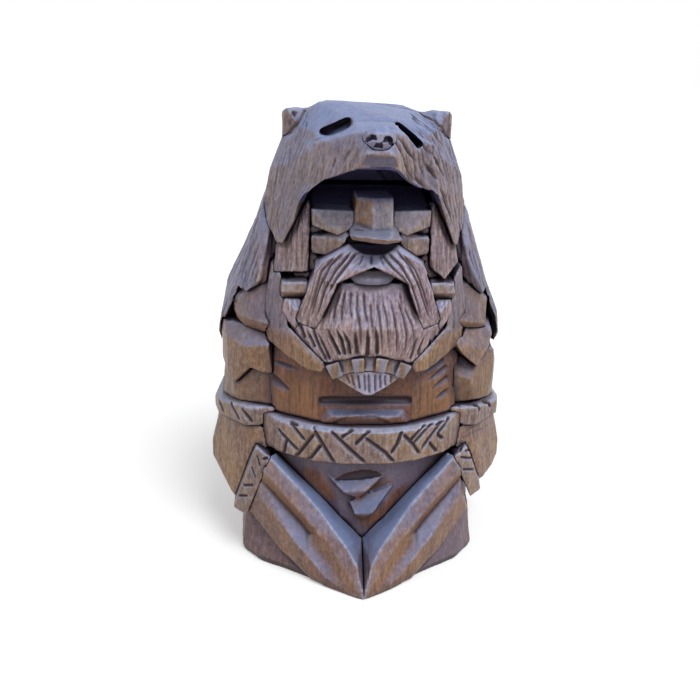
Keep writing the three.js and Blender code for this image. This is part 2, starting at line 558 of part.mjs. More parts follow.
// A hand is two long lobes with a groove between, and a bevel along its inner edge. Each
// section across it runs from the bevel over the ridge and the groove to the lower edge.
function hands() {
  const tip = at(HAND_GAP_HALF, FINGER_REACH, 0);
  const wrist = {
    bevel: at(14.8, 12.2, 21.4), ridge: at(16.1, 13.6, 21.5), upper: at(17.4, 13.9, 19),
    groove: at(17.6, 12.2, 16.4), lower: at(17.8, 13.3, 13.4), edge: at(19.8, 10.6, 9.4),
    deep: at(14, 5, 14),
  };
  const middle = {
    bevel: at(7, 15.2, 14.2), ridge: at(7.9, 18, 14), upper: at(9.7, 18.4, 11.9),
    groove: at(10.7, 16.3, 10.2), lower: at(11.8, 17.9, 7.4), edge: at(14.4, 15.2, 4.2),
    deep: at(8, 8, 8),
  };
  const low = {
    bevel: at(HAND_GAP_HALF, 17, 7.4), ridge: at(2.9, 21.8, 8.4), upper: at(4.8, 21.6, 6.5),
    groove: at(6, 19.4, 4.6), lower: at(6.8, 21.1, 2.7), edge: at(9, 19.2, 0.4),
    deep: at(3, 12, 2),
  };
  const palm = ({ bevel, ridge, upper, groove, deep }) => [bevel, ridge, upper, groove, deep];
  const heel = ({ groove, lower, edge, deep }) => [groove, lower, edge, deep];
  const bevelFoot = at(HAND_GAP_HALF, 21.4, 4);
  return pair('hand', SLEEVE_WOOD, [
    [...palm(wrist), ...palm(middle)],
    [...palm(middle), ...palm(low)],
    [...palm(low), bevelFoot, at(1.1, 23.3, 5.4), at(4.4, 21.6, 2.4), tip],
    [...heel(wrist), ...heel(middle)],
    [...heel(middle), ...heel(low)],
    [...heel(low), at(4.9, 22, 0), at(4.4, 21.6, 2.4), tip],
  ]);
}

// Chest with a long slot in it and a smooth roll of cloth above the belt
function torso() {
  const chest = both([
    above(16, 10.4, -12), above(16, 10.6, -21), above(8.2, 15.2, -16), at(8, 15.6, BELT_LOW + 1),
    at(16, 10.6, BELT_LOW + 1), above(7, 14.6, -10), above(15, 8, 2), above(6, 10, 6),
    above(15, -16, 6), above(17, -18, 0), at(18, 1.4 - BODY_BACK, BELT_LOW + 1),
    above(8, 0.4 - BODY_BACK, -10), at(8, -BODY_BACK, BELT_LOW + 1),
  ]);
  const roll = both([
    at(5.4, 16.6, BELT_TOP + 1.8), at(7.2, 14.6, BELT_TOP + 2.9), at(8.8, 15.4, BELT_TOP - 1),
    at(8.4, 12, BELT_TOP + 2), at(8.8, 12, BELT_TOP - 1), at(3, 16.8, BELT_TOP + 1.4),
    at(3, 16.4, BELT_TOP - 1),
  ]);
  const slot = both([
    at(7.9, 20, BELT_TOP + 5), at(7.9, 20, BELT_TOP + 1.6), at(7.9, 17, BELT_TOP + 4.9),
    at(7.7, 14.3, BELT_TOP + 4.5), at(7.7, 14.6, BELT_TOP + 3.8), at(7.9, 17, BELT_TOP + 2.4),
  ]);
  return form('torso', ROBE_WOOD, [chest, roll], [slot]);
}

function belt() {
  const outline = [
    [3.5, BELT_FRONT], [8.6, BELT_FRONT - 1.2], [14, BELT_FRONT - 4.4], [17, BELT_FRONT - 8],
  ];
  const half = outline.flatMap(([side, front]) => [
    at(side, front, BELT_LOW + 0.3), at(side, front - 0.3, BELT_TOP - 0.5),
    at(side, front - 1, BELT_TOP), at(side, front - 0.8, BELT_LOW - 0.1),
  ]);
  const band = both([...half, at(15, 8, BELT_TOP), at(15, 8, BELT_LOW)]);
  return form('belt', BAND_WOOD, [band]);
}

// The robe below the belt, with two folds hanging between the hands
function skirt() {
  const foot = BASE_TALL + 0.3;
  const robe = both([
    at(14, 11.6, BELT_LOW), at(5, 16, BELT_LOW), at(4, 16, 14), at(SKIRT_HALF, 5, foot),
    at(17, 10.2, foot), at(3, 16.8, foot - 4), at(19, 4, BELT_LOW), at(19, -18, BELT_LOW),
    at(SKIRT_HALF, -15, foot), at(8, -BODY_BACK, BELT_LOW), at(8, -BODY_BACK, foot),
  ]);
  const upperFold = [
    at(-6, 15.9, 18.8), at(4, 16.1, 19.8), at(-3.4, 18.5, 17), at(0.4, 18.3, 17.2),
    at(-4, 13, 15), at(3, 13, 16), at(-1, 17.4, 15.4),
  ];
  const lowerFold = [
    at(-2.6, 17, 14.6), at(5.4, 16.7, 17.8), at(1.6, 18.8, 13.2), at(-1.6, 18.6, 13),
    at(0, 13, 11.6), at(4, 13, 14.6), at(0, 17.7, 11.2),
  ];
  return form('skirt', ROBE_WOOD, [robe, upperFold, lowerFold]);
}

// The block that the figure stands on
function base() {
  const outline = [
    [BASE_HALF, 1, 0], [BASE_HALF - 0.4, 8.6, 0], [18, 12.6, 1.6], [12, 16.2, BASE_NOSE_DROP * 0.6],
    [0.8, FINGER_REACH - 1, BASE_NOSE_DROP],
    [BASE_HALF, -12, 0], [BASE_HALF - 4, -19, 0], [9, -BASE_BACK, 0],
  ];
  const rim = (inset, up) => outline.map(([side, front]) => at(side - inset, front, up));
  const top = outline.map(([side, front, drop]) => (
    at(side - 0.8, Math.min(front, front * 0.8), BASE_TALL - drop)));
  return form('base', ROBE_WOOD, [both([...rim(0.5, 0), ...rim(0, 1.2), ...top])]);
}

// Nearer forms come first, and each later one is cut clear of them
const forms = [
  bearNose(),
  nose(),
  lowerLip(),
  beardRing(),
  belt(),
  ...hairRings(),
  ...wristBands(),
  ...armBands(),
  moustache(),
  ...brows(),
  ...cheeks(),
  beardTip(),
  ...hairTails(),
  ...hairLocks(),
  beard(),
  ...collars(),
  ...ears(),
  bearHood(),
  ...hands(),
  ...forearms(),
  ...shoulders(),
  ...upperSleeves(),
  ...lowerSleeves(),
  ...peltSides(),
  face(),
  base(),
  torso(),
  skirt(),
  peltBack(),
];

// The largest body left after the cuts: shavings fall away
function withoutShavings(positions, triangles) {
  const parent = Array.from({ length: positions.length / 3 }, (_, index) => index);
  const root = (index) => {
    let top = index;
    while (parent[top] !== top) top = parent[top];
    parent[index] = top;
    return top;
  };
  for (let t = 0; t < triangles.length; t += 3) {
    parent[root(triangles[t])] = root(triangles[t + 1]);
    parent[root(triangles[t + 1])] = root(triangles[t + 2]);
  }
  const groups = new Map();
  for (let t = 0; t < triangles.length; t += 3) {
    const key = root(triangles[t]);
    if (!groups.has(key)) groups.set(key, []);
    groups.get(key).push(triangles[t], triangles[t + 1], triangles[t + 2]);
  }
  const volume = (corners) => {
    let six = 0;
    for (let t = 0; t < corners.length; t += 3) {
      const [a, b, c] = corners.slice(t, t + 3)
        .map((index) => new THREE.Vector3().fromArray(positions, index * 3));
      six += a.dot(b.cross(c));
    }
    return six;
  };
  return [...groups.values()].sort((a, b) => volume(b) - volume(a))[0];
}

function meshFrom(solid, name, material) {
  const { vertProperties, triVerts } = solid.getMesh();
  const geometry = new THREE.BufferGeometry();
  geometry.setAttribute('position', new THREE.BufferAttribute(new Float32Array(vertProperties), 3));
  geometry.setIndex(withoutShavings(vertProperties, triVerts));
  const mesh = new THREE.Mesh(geometry, material());
  mesh.name = name;
  return mesh;
}

const figurine = new THREE.Group();
const cutters = [];
for (const item of forms) {
  let solid = carve(item, 0);
  for (const cutter of cutters) solid = solid.subtract(cutter);
  cutters.push(carve(item, STOP_CUT));
  figurine.add(meshFrom(solid, item.name, item.material));
}

export default figurine;
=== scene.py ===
import math

import bmesh
import bpy
import numpy as np
from mathutils import Matrix, Vector
from mathutils.bvhtree import BVHTree


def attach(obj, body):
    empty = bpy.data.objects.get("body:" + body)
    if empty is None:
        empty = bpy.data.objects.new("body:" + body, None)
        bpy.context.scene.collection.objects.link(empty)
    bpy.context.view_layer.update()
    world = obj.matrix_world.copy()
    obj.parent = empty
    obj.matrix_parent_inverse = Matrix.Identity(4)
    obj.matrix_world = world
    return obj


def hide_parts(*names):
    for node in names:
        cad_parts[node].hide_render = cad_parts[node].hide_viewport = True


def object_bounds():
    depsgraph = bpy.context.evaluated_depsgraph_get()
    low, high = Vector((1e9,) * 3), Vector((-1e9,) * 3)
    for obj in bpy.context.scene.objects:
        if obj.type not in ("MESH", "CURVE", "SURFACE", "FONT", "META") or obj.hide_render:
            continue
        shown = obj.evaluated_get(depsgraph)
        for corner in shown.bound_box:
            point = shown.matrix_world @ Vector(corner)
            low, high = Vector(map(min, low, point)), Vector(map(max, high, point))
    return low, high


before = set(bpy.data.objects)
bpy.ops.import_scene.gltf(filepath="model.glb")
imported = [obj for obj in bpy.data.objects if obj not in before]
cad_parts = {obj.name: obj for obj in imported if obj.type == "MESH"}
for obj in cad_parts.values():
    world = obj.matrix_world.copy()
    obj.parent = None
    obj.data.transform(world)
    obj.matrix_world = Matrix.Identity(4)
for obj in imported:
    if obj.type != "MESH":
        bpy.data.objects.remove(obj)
cad_box = [list(corner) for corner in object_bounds()]

# Carving is done in millimetres, Blender's scene is in metres
MM = 0.001
BOX_LOW = np.array(cad_box[0]) / MM
BOX_HIGH = np.array(cad_box[1]) / MM

# Grid steps of the carved surfaces, finer where the cuts are finer
NOSE_GRID = 0.14
RING_GRID = 0.16
HAIR_GRID = 0.17
BAND_GRID = 0.2
SLEEVE_GRID = 0.22
HOOD_GRID = 0.24
PLAIN_GRID = 0.26
BROAD_GRID = 0.28
ROUGHER = 1.0

# Closing a stop cut: the usual and the stronger move towards the neighbour, how near it has
# to be, the stretch over which the move fades, and the largest share of the gap
CLOSE = 0.2
JOIN = 0.34
JOIN_REACH = 1.3
JOIN_FADE = 0.7
JOIN_SHARE = 0.55

# How far a form smooths out when its edges and hollows are measured, the bend that counts
# as level, the rise of a full edge, the depth of a full hollow, and that of a dark cut
WORN = 0.6
LEVEL = 0.01
EDGE_RISE = 0.15
HOLLOW_DEPTH = 0.13
DARK_CUT = 0.5

# Clearance kept inside the CAD box
INSIDE = 0.02

# How near a higher form paints shade on the surface, and the stretch over which that fades
CONTACT_SHADE_REACH = 1.0
CONTACT_SHADE_FADE = 0.6

# Step along a line that is laid on a surface, the step of a stroke of fur, where the rays
# towards the front start, and about how far forward the front lies
LINE_STEP = 0.5
FUR_STEP = 0.6
BEFORE = -60
FRONT = -18

# How fast the ends of a cut grow to full size, and the part of its depth that takes painted
# shade, from the start of the shade to its full strength
CUT_GROWTH = 0.7
CUT_SHADE_START = 0.15
CUT_SHADE_RISE = 0.3


def read(items, name, width, kind=np.float64):
    values = np.empty(len(items) * width, kind)
    items.foreach_get(name, values)
    return values.reshape(-1, width) if width > 1 else values


def placed(name, data):
    """A new object in the scene."""
    item = bpy.data.objects.new(name, data)
    bpy.context.scene.collection.objects.link(item)
    return item


def even_mesh(source, voxel):
    """An even, closed mesh of a CAD node's shape."""
    mesh = source.copy()
    shape = bmesh.new()
    shape.from_mesh(mesh)
    bmesh.ops.remove_doubles(shape, verts=shape.verts, dist=1e-6)
    shape.to_mesh(mesh)
    shape.free()
    rough = placed("rough", mesh)
    remesh = rough.modifiers.new("even", "REMESH")
    remesh.mode = "VOXEL"
    remesh.voxel_size = voxel * MM
    view = bpy.context.evaluated_depsgraph_get()
    even = bpy.data.meshes.new_from_object(rough.evaluated_get(view))
    bpy.data.objects.remove(rough)
    bpy.data.meshes.remove(mesh)
    even.materials.clear()
    return even


def solid_tree(nodes):
    """The surface of some CAD nodes, for finding its nearest places."""
    corners = []
    faces = []
    for node in nodes:
        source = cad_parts[node].data
        first = len(corners)
        corners += [Vector(corner) for corner in read(source.vertices, "co", 3) / MM]
        faces += [tuple(first + corner for corner in face.vertices) for face in source.polygons]
    return BVHTree.FromPolygons(corners, faces)


def spaced(points, step):
    """Points at even steps along a line."""
    points = np.asarray(points, float)
    lengths = np.linalg.norm(np.diff(points, axis=0), axis=1)
    marks = np.concatenate([[0], np.cumsum(lengths)])
    count = max(2, int(math.ceil(marks[-1] / step)) + 1)
    wanted = np.linspace(0, marks[-1], count)
    return np.stack([np.interp(wanted, marks, points[:, k]) for k in range(points.shape[1])], 1)


def everywhere(place, normal):
    return np.ones(len(place), bool)


def faces_front(place, normal):
    return normal[:, 1] < -0.3


def within(outline):
    """A test for places whose front view lies inside an outline of (side, up) corners."""
    ends = list(zip(outline, outline[1:] + outline[:1]))

    def test(place, normal):
        inside = np.zeros(len(place), bool)
        for (side, up), (next_side, next_up) in ends:
            if up != next_up:
                crossing = side + (place[:, 2] - up) * (next_side - side) / (next_up - up)
                level = (up > place[:, 2]) != (next_up > place[:, 2])
                inside ^= level & (place[:, 0] < crossing)
        return inside & (normal[:, 1] < 0.2)
    return test


class Carving:
    """A carved form: an even mesh of one CAD node, the sideways shift of its points, the
    depth of the cuts and hollows in it, and the paints that its material mixes in."""

    def __init__(self, node, voxel, grow=CLOSE):
        self.node = node
        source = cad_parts[node].data
        self.tree = solid_tree([node])
        self.mesh = even_mesh(source, voxel * ROUGHER)
        self.spacing = voxel * ROUGHER
        self.rest = read(self.mesh.vertices, "co", 3) / MM
        self.count = len(self.rest)
        self.edges = read(self.mesh.edges, "vertices", 2, np.int64)
        self.degree = np.bincount(self.edges.ravel(), minlength=self.count).clip(1)
        self.rest = 0.5 * self.rest + 0.5 * self.averaged(self.rest)
        self.normals = self.facing(self.rest)
        for _ in range(2):
            self.normals = self.averaged(self.normals)
        self.normals /= np.linalg.norm(self.normals, axis=1)[:, None].clip(1e-9)
        self.shift = np.zeros((self.count, 3))
        self.cut = np.zeros(self.count)
        self.shallow = np.zeros(self.count)
        self.hollow_dark_off = np.zeros(self.count)
        self.paints = {name: np.zeros(self.count) for name in ("shade", "gold", "sky_sheen", "shade_and_stain")}
        others = [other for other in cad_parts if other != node]
        # Painted shade at the foot of every higher form
        self.paints["shade_and_stain"] = self.beside(solid_tree(others))
        if grow:
            self.join(others, grow)

    def beside(self, tree, rise=0.8):
        """How closely each point lies at the foot of a form that stands higher, for painted shade.
        """
        close = np.zeros(self.count)
        for index, place in enumerate(self.rest + rise * self.normals):
            gap = tree.find_nearest(Vector(place), CONTACT_SHADE_REACH)[3]
            if gap is not None:
                close[index] = min(1.0, (CONTACT_SHADE_REACH - gap) / CONTACT_SHADE_FADE)
        return close

    def shade_near_forms(self, nodes, reach=1.5, amount=0.9):
        """Paint shade on the surface close to other forms."""
        tree = solid_tree(nodes)
        for index, place in enumerate(self.rest):
            gap = tree.find_nearest(Vector(place), reach)[3]
            if gap is not None:
                share = amount * min(1.0, 1.5 * (1 - gap / reach))
                self.paints["shade_and_stain"][index] = max(self.paints["shade_and_stain"][index], share)

    def blur(self, name, times):
        """Let a paint's edges run softly."""
        for _ in range(times):
            self.paints[name] = self.averaged(self.paints[name][:, None])[:, 0]

    def join(self, nodes, amount=JOIN, where=None):
        """Move the surface towards other forms, where the carving runs on to the next."""
        tree = solid_tree(nodes)
        for index, place in enumerate(self.rest):
            if where is not None and not where(place):
                continue
            found, _, _, gap = tree.find_nearest(Vector(place), JOIN_REACH)
            if gap:
                fade = min(1.0, (JOIN_REACH - gap) / JOIN_FADE)
                length = min(fade * amount, JOIN_SHARE * gap)
                if length > np.linalg.norm(self.shift[index]):
                    self.shift[index] = (np.array(found) - place) * (length / gap)

    def pull(self, centre, shift, reach):
        """Move the surface round a place, less and less with the distance."""
        away = np.linalg.norm(self.rest - centre, axis=1)
        share = np.clip(1 - (away / reach) ** 2, 0, 1) ** 2
        self.rest += share[:, None] * np.array(shift)

    def paint(self, name, where, amount=1.0):
        chosen = where(self.rest, self.normals) * amount
        self.paints[name] = np.maximum(self.paints[name], chosen)

    def shade_above(self, level, fade, most=1.0):
        """Shade what lies above a level, which may differ from point to point."""
        self.paints["shade"] = np.clip((self.rest[:, 2] - level) / fade, 0, most)

    def sink(self, outline, depth, shade=0.0):
        """Lower the part of the front that lies inside an outline."""
        chosen = within(outline)(self.rest, self.normals)
        self.cut[chosen] = np.maximum(self.cut[chosen], depth)
        self.paint("shade", within(outline), shade)

    def spare_walls(self, share=0.3, reach=2.0):
        """Cut less deep where the wall under the surface is thin."""
        faces = [tuple(face.vertices) for face in self.mesh.polygons]
        skin = BVHTree.FromPolygons([Vector(place) for place in self.rest], faces)
        depth = (self.cut + self.shallow).clip(1e-6)
        for index in range(self.count):
            inward = -self.normals[index]
            start = Vector(self.rest[index] + 0.02 * inward)
            wall = skin.ray_cast(start, Vector(inward), reach)[3]
            if wall is not None:
                kept = min(1.0, share * wall / depth[index])
                self.cut[index] *= kept
                self.shallow[index] *= kept

    def ease(self, where, times):
        """Smooth the form where a condition on place and normal holds."""
        chosen = where(self.rest, self.normals)
        for _ in range(times):
            self.rest[chosen] = self.averaged(self.rest)[chosen]

    def averaged(self, values):
        """The mean of each point's neighbours."""
        first, second = self.edges.T
        columns = []
        for column in values.T:
            total = np.bincount(first, column[second], self.count)
            total += np.bincount(second, column[first], self.count)
            columns.append(total / self.degree)
        return np.stack(columns, 1)

    def facing(self, places):
        """Point normals of the mesh with its points at the given places."""
        self.mesh.vertices.foreach_set("co", (places * MM).ravel())
        self.mesh.update()
        return read(self.mesh.vertex_normals, "vector", 3)

    def groove(self, line, width, depth, lean=0.0, taper=(0.3, 0.45), dark=0.0):
        """A V cut along a line on the surface. It narrows towards both ends, a lean makes
        one of its walls wider than the other, and dark paints shade into its bottom."""
        line = np.asarray(line, float)
        steps = np.diff(line, axis=0)
        lengths = np.linalg.norm(steps, axis=1)
        keep = lengths > 1e-6
        starts, steps, lengths = line[:-1][keep], steps[keep], lengths[keep]
        if not len(steps):
            return
        reach = width * 0.5 * (1 + abs(lean))
        inside = (self.rest > line.min(0) - reach) & (self.rest < line.max(0) + reach)
        near = np.flatnonzero(inside.all(1))
        if not len(near):
            return
        marks = np.concatenate([[0], np.cumsum(lengths)])
        away = self.rest[near][:, None] - starts
        share = np.clip((away * steps).sum(2) / lengths ** 2, 0, 1)
        gaps = away - share[..., None] * steps
        squares = (gaps ** 2).sum(2)
        best = squares.argmin(1)
        rows = np.arange(len(near))
        along = (marks[best] + share[rows, best] * lengths[best]) / marks[-1]
        body = np.minimum(along / max(taper[0], 1e-3), (1 - along) / max(taper[1], 1e-3))
        body = np.clip(body, 0.02, 1) ** CUT_GROWTH
        across = np.cross(steps[best], self.normals[near])
        side = np.sign((across * gaps[rows, best]).sum(1))
        half = width * 0.5 * body * (1 + lean * side)
        fall = np.clip(1 - np.sqrt(squares[rows, best]) / half.clip(1e-3), 0, 1)
        self.cut[near] = np.maximum(self.cut[near], depth * body * fall)
        # Painted shade in the bottom of the cut
        bottom = dark * np.clip((fall * body - CUT_SHADE_START) / CUT_SHADE_RISE, 0, 1)
        self.paints["shade_and_stain"][near] = np.maximum(self.paints["shade_and_stain"][near], bottom)

    def on_front(self, line, jump):
        """A line given as (side, up), laid on the surface that the front shows. Where the
        surface steps back by more than the jump, the line goes by the nearest place."""
        places = []
        for side, up in spaced(line, LINE_STEP):
            hit = self.tree.ray_cast(Vector((side, BEFORE, up)), Vector((0, 1, 0)))[0]
            if hit is None or (places and abs(hit.y - places[-1].y) > jump):
                depth = places[-1].y if places else FRONT
                hit = self.tree.find_nearest(Vector((side, depth, up)))[0]
            places.append(hit)
        return np.array(places)

    def laid_grooves(self, lines, width, depth, **shape):
        """Grooves along lines of (side, depth, up) points near the surface."""
        for line in lines:
            steps = spaced(line, LINE_STEP)
            places = [self.tree.find_nearest(Vector(place))[0] for place in steps]
            self.groove(places, width, depth, **shape)

    def front_grooves(self, lines, width, depth, jump=2.5, **shape):
        for line in lines:
            self.groove(self.on_front(line, jump), width, depth, **shape)

    def walk(self, start, way, length):
        """A line over the surface from a start, in the direction that a field gives."""
        place = self.tree.find_nearest(Vector(start))[0]
        line = [place]
        for _ in range(max(2, int(length / FUR_STEP))):
            normal = self.tree.find_nearest(place)[1]
            course = Vector(way(place))
            course -= normal * course.dot(normal)
            if course.length < 1e-3:
                break
            place = self.tree.find_nearest(place + course.normalized() * FUR_STEP)[0]
            line.append(place)
        return np.array(line)

    def starts(self, where, spacing, rng):
        """Scattered points of the surface, where a condition on place and normal holds."""
        fit = np.flatnonzero(where(self.rest, self.normals))
        if not len(fit):
            return []
        rng.shuffle(fit)
        chosen = []
        taken = set()
        for index in fit:
            cell = tuple(np.floor(self.rest[index] / spacing).astype(int))
            if cell not in taken:
                taken.add(cell)
                chosen.append(self.rest[index])
        return chosen

    def fur(self, where, way, spacing, length, width, depth, seed):
        """Many strokes along a flow. Length, width and depth are given as (least, most)."""
        rng = np.random.default_rng(seed)
        for start in self.starts(where, spacing, rng):
            line = self.walk(start, way, rng.uniform(*length))
            size = rng.uniform(0, 1)
            self.groove(
                line, width[0] + size * (width[1] - width[0]),
                depth[0] + size * (depth[1] - depth[0]),
                taper=(rng.uniform(0.15, 0.4), rng.uniform(0.3, 0.6)))

    def hew(self, size, depth, seed, stretch=1.0):
        """Shallow gouge hollows all over, side by side with low ridges between them."""
        rng = np.random.default_rng(seed)
        number = max(6, int(self.count * self.spacing ** 2 / size ** 2))
        squash = np.array([1, 1, 1 / stretch])
        centres = self.rest[rng.choice(self.count, number)] * squash
        heights = rng.uniform(0, depth * 0.6, number)
        fall = depth / (0.62 * size) ** 2
        for begin in range(0, self.count, 20000):
            some = self.rest[begin:begin + 20000] * squash
            squares = ((some ** 2).sum(1)[:, None] + (centres ** 2).sum(1)
                       - 2 * some @ centres.T)
            hollow = (heights - fall * squares).max(1)
            self.shallow[begin:begin + 20000] = np.clip(hollow + depth * 0.6, 0, 2 * depth)

    def piece(self, wood):
        """The finished piece in one of the woods, which stands for its CAD node."""
        depth = self.cut + self.shallow
        places = self.rest + self.shift - self.normals * depth[:, None]
        places = places.clip(BOX_LOW + INSIDE, BOX_HIGH - INSIDE)
        normals = self.facing(places)
        flat = places
        for _ in range(int(math.ceil(1.5 * (WORN / self.spacing) ** 2))):
            flat = self.averaged(flat)
        rise = ((places - flat) * normals).sum(1)
        self.store("edge", np.clip((rise - LEVEL) / EDGE_RISE, 0, 1))
        # Darkening in hollows and cuts, partly stain and partly painted shade, left out where it is
        # turned off
        hollow = np.clip((-rise - LEVEL) / HOLLOW_DEPTH, 0, 1) * (1 - self.hollow_dark_off)
        self.store("hollow", np.maximum(hollow, 0.85 * np.clip(self.cut / DARK_CUT, 0, 1)))
        for name, values in self.paints.items():
            self.store(name, values)
        self.mesh.polygons.foreach_set("use_smooth", np.ones(len(self.mesh.polygons), bool))
        self.mesh.materials.append(MATERIALS[wood])
        piece = placed("carved_" + self.node, self.mesh)
        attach(piece, "root")
        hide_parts(self.node)

    def store(self, name, values):
        layer = self.mesh.attributes.new(name, "FLOAT", "POINT")
        layer.data.foreach_set("value", values)


# Materials

def linear(red, green, blue):
    """A colour written as on a screen, from 0 to 255, in Blender's linear values."""
    def channel(value):
        value /= 255
        return value / 12.92 if value <= 0.04045 else ((value + 0.055) / 1.055) ** 2.4
    return (channel(red), channel(green), channel(blue), 1)


class Graph:
    """The shader nodes of a material or of the world."""

    def __init__(self, owner):
        owner.use_nodes = True
        self.tree = owner.node_tree
        self.tree.nodes.clear()

    def node(self, kind, sockets=None, **settings):
        node = self.tree.nodes.new("ShaderNode" + kind)
        for key, value in settings.items():
            setattr(node, key, value)
        for key, value in (sockets or {}).items():
            self.feed(node.inputs[key], value)
        return node

    def feed(self, socket, value):
        if isinstance(value, bpy.types.NodeSocket):
            self.tree.links.new(value, socket)
        else:
            socket.default_value = value

    def math(self, kind, first, second=0.0, clamp=False):
        node = self.node("Math", {0: first, 1: second}, operation=kind)
        node.use_clamp = clamp
        return node.outputs[0]

    def times(self, first, second):
        return self.math("MULTIPLY", first, second)

    def blend(self, share, first, second):
        node = self.node("Mix", data_type="RGBA")
        self.feed(node.inputs["Factor"], share)
        self.feed(node.inputs["A"], first)
        self.feed(node.inputs["B"], second)
        return node.outputs["Result"]

    def span(self, value, low, high, to_low=0.0, to_high=1.0):
        node = self.node("MapRange", {
            "Value": value, "From Min": low, "From Max": high,
            "To Min": to_low, "To Max": to_high})
        return node.outputs["Result"]

    def noise(self, place, stretch, detail, roughness, distortion=0.0):
        scaled = self.node("VectorMath", {0: place, 1: stretch}, operation="MULTIPLY")
        node = self.node("TexNoise", {
            "Vector": scaled.outputs[0], "Scale": 1.0, "Detail": detail,
            "Roughness": roughness, "Distortion": distortion})
        return node.outputs["Fac"]

    def attribute(self, name):
        return self.node("Attribute", attribute_name=name).outputs["Fac"]


def stained_wood(name, tones, sky_sheen_amount, gloss, wear_and_highlight):
    """Stained wood with fine upright grain: dark in the cuts, from stain and painted shade, worn
    light edges with a painted sky highlight where they face up, a painted cool sky sheen on what
    faces up, painted warm bounce light on what faces down, painted warm light on chosen facets,
    and painted shade in closed corners and beside higher forms."""
    material = bpy.data.materials.new("stained_" + name)
    g = Graph(material)
    brown, golden, worn, sky_sheen = (linear(*tone) for tone in tones)
    coords = g.node("TexCoord")
    place = g.node("VectorMath", {0: coords.outputs["Object"], "Scale": 1000.0},
                   operation="SCALE").outputs[0]
    fibre = g.noise(place, (2.8, 2.8, 0.16), 5.0, 0.65, 0.2)
    streak = g.noise(place, (0.8, 0.8, 0.05), 3.0, 0.55, 0.4)
    blotch = g.noise(place, (0.13, 0.13, 0.1), 3.0, 0.5)
    fleck = g.noise(place, (1.3, 1.3, 1.0), 5.0, 0.75)
    pores = g.span(g.noise(place, (6.5, 6.5, 0.5), 2.0, 0.5), 0.62, 0.74)

    grain = g.math("ADD", g.times(fibre, 0.6), g.times(streak, 0.4))
    grain = g.span(grain, 0.38, 0.62)
    tone = g.blend(g.span(blotch, 0.38, 0.62), brown, golden)
    # Painted warm light on the facets where it is painted
    tone = g.blend(g.attribute("gold"), tone, WARM_LIGHT_TONE)
    tone = g.blend(g.times(g.math("SUBTRACT", 1.0, grain), 0.66), tone, DEEP)
    tone = g.blend(g.times(g.span(fleck, 0.45, 0.72), 0.5), tone, worn)
    tone = g.blend(g.times(pores, 0.4), tone, DEEP)

    upward = g.node("SeparateXYZ", {0: coords.outputs["Normal"]}).outputs["Z"]
    # Painted warm bounce light on what faces down
    tone = g.blend(g.span(upward, 0.0, -0.6, 0.0, 0.6), tone, UNDERSIDE_BOUNCE_TONE)
    # Painted cool sky sheen on what faces up and where it is painted
    sky_sheen_share = g.times(g.span(upward, 0.12, 0.72), sky_sheen_amount)
    sky_sheen_share = g.math("MAXIMUM", sky_sheen_share, g.attribute("sky_sheen"))
    sky_sheen_share = g.times(sky_sheen_share, g.span(fleck, 0.3, 0.6, 0.72, 1.0))
    tone = g.blend(sky_sheen_share, tone, sky_sheen)

    # Worn light edges, with a painted sky highlight where they face up
    edge = g.times(g.attribute("edge"), g.span(fleck, 0.38, 0.62, 0.2, 1.0))
    edge = g.times(edge, g.span(upward, -0.2, 0.45, 0.25 * wear_and_highlight, wear_and_highlight))
    light = g.blend(g.span(upward, -0.1, 0.5), worn, SKY_HIGHLIGHT)
    tone = g.blend(edge, tone, light)
    # Painted shade, and here and there a darker tone, where that paint is given
    shade_and_stain = g.times(g.attribute("shade_and_stain"), g.span(fleck, 0.3, 0.6, 0.7, 0.95))
    tone = g.blend(shade_and_stain, tone, SHADE_AND_STAIN_TONE)
    # Painted shade from ambient occlusion in closed corners
    occlusion = g.node("AmbientOcclusion", {"Distance": 0.005}, samples=8)
    open_share = g.span(occlusion.outputs["AO"], 0.2, 0.8)
    tone = g.blend(g.math("SUBTRACT", 1.0, open_share), tone, AO_SHADE)
    tone = g.blend(g.times(g.attribute("shade"), 0.95), tone, SHADE)
    # Darker in cuts and hollows: stain gathered there, and painted shade
    hollow = g.attribute("hollow")
    tone = g.blend(g.times(hollow, 0.85), tone, DEEP)

    rough = g.span(grain, 0.0, 1.0, gloss + 0.14, gloss)
    rough = g.math("ADD", rough, g.times(hollow, 0.2), clamp=True)
    rough = g.math("ADD", rough, g.attribute("shade"), clamp=True)
    height = g.math("ADD", g.times(fibre, 0.7), g.times(fleck, 0.5))
    height = g.math("SUBTRACT", height, g.times(pores, 0.5))
    bump = g.node("Bump", {"Strength": 0.4, "Distance": 0.00025, "Height": height})
    shader = g.node("BsdfPrincipled", {
        "Base Color": tone, "Roughness": rough, "Normal": bump.outputs[0],
        "Specular IOR Level": 0.28, "Coat Weight": 0.1, "Coat Roughness": 0.32})
    g.node("OutputMaterial", {"Surface": shader.outputs[0]})
    return material


# Tones that all the woods share: cuts, painted shade and stain beside a form, painted shade in
# closed corners, deep painted shade, painted warm light on facets, painted warm bounce light on
# undersides and painted sky highlights on worn edges that face up
DEEP = linear(40, 26, 32)
SHADE_AND_STAIN_TONE = linear(58, 40, 44)
AO_SHADE = linear(30, 24, 36)
SHADE = linear(78, 74, 112)
WARM_LIGHT_TONE = linear(158, 114, 70)
UNDERSIDE_BOUNCE_TONE = linear(118, 82, 58)
SKY_HIGHLIGHT = linear(184, 190, 218)

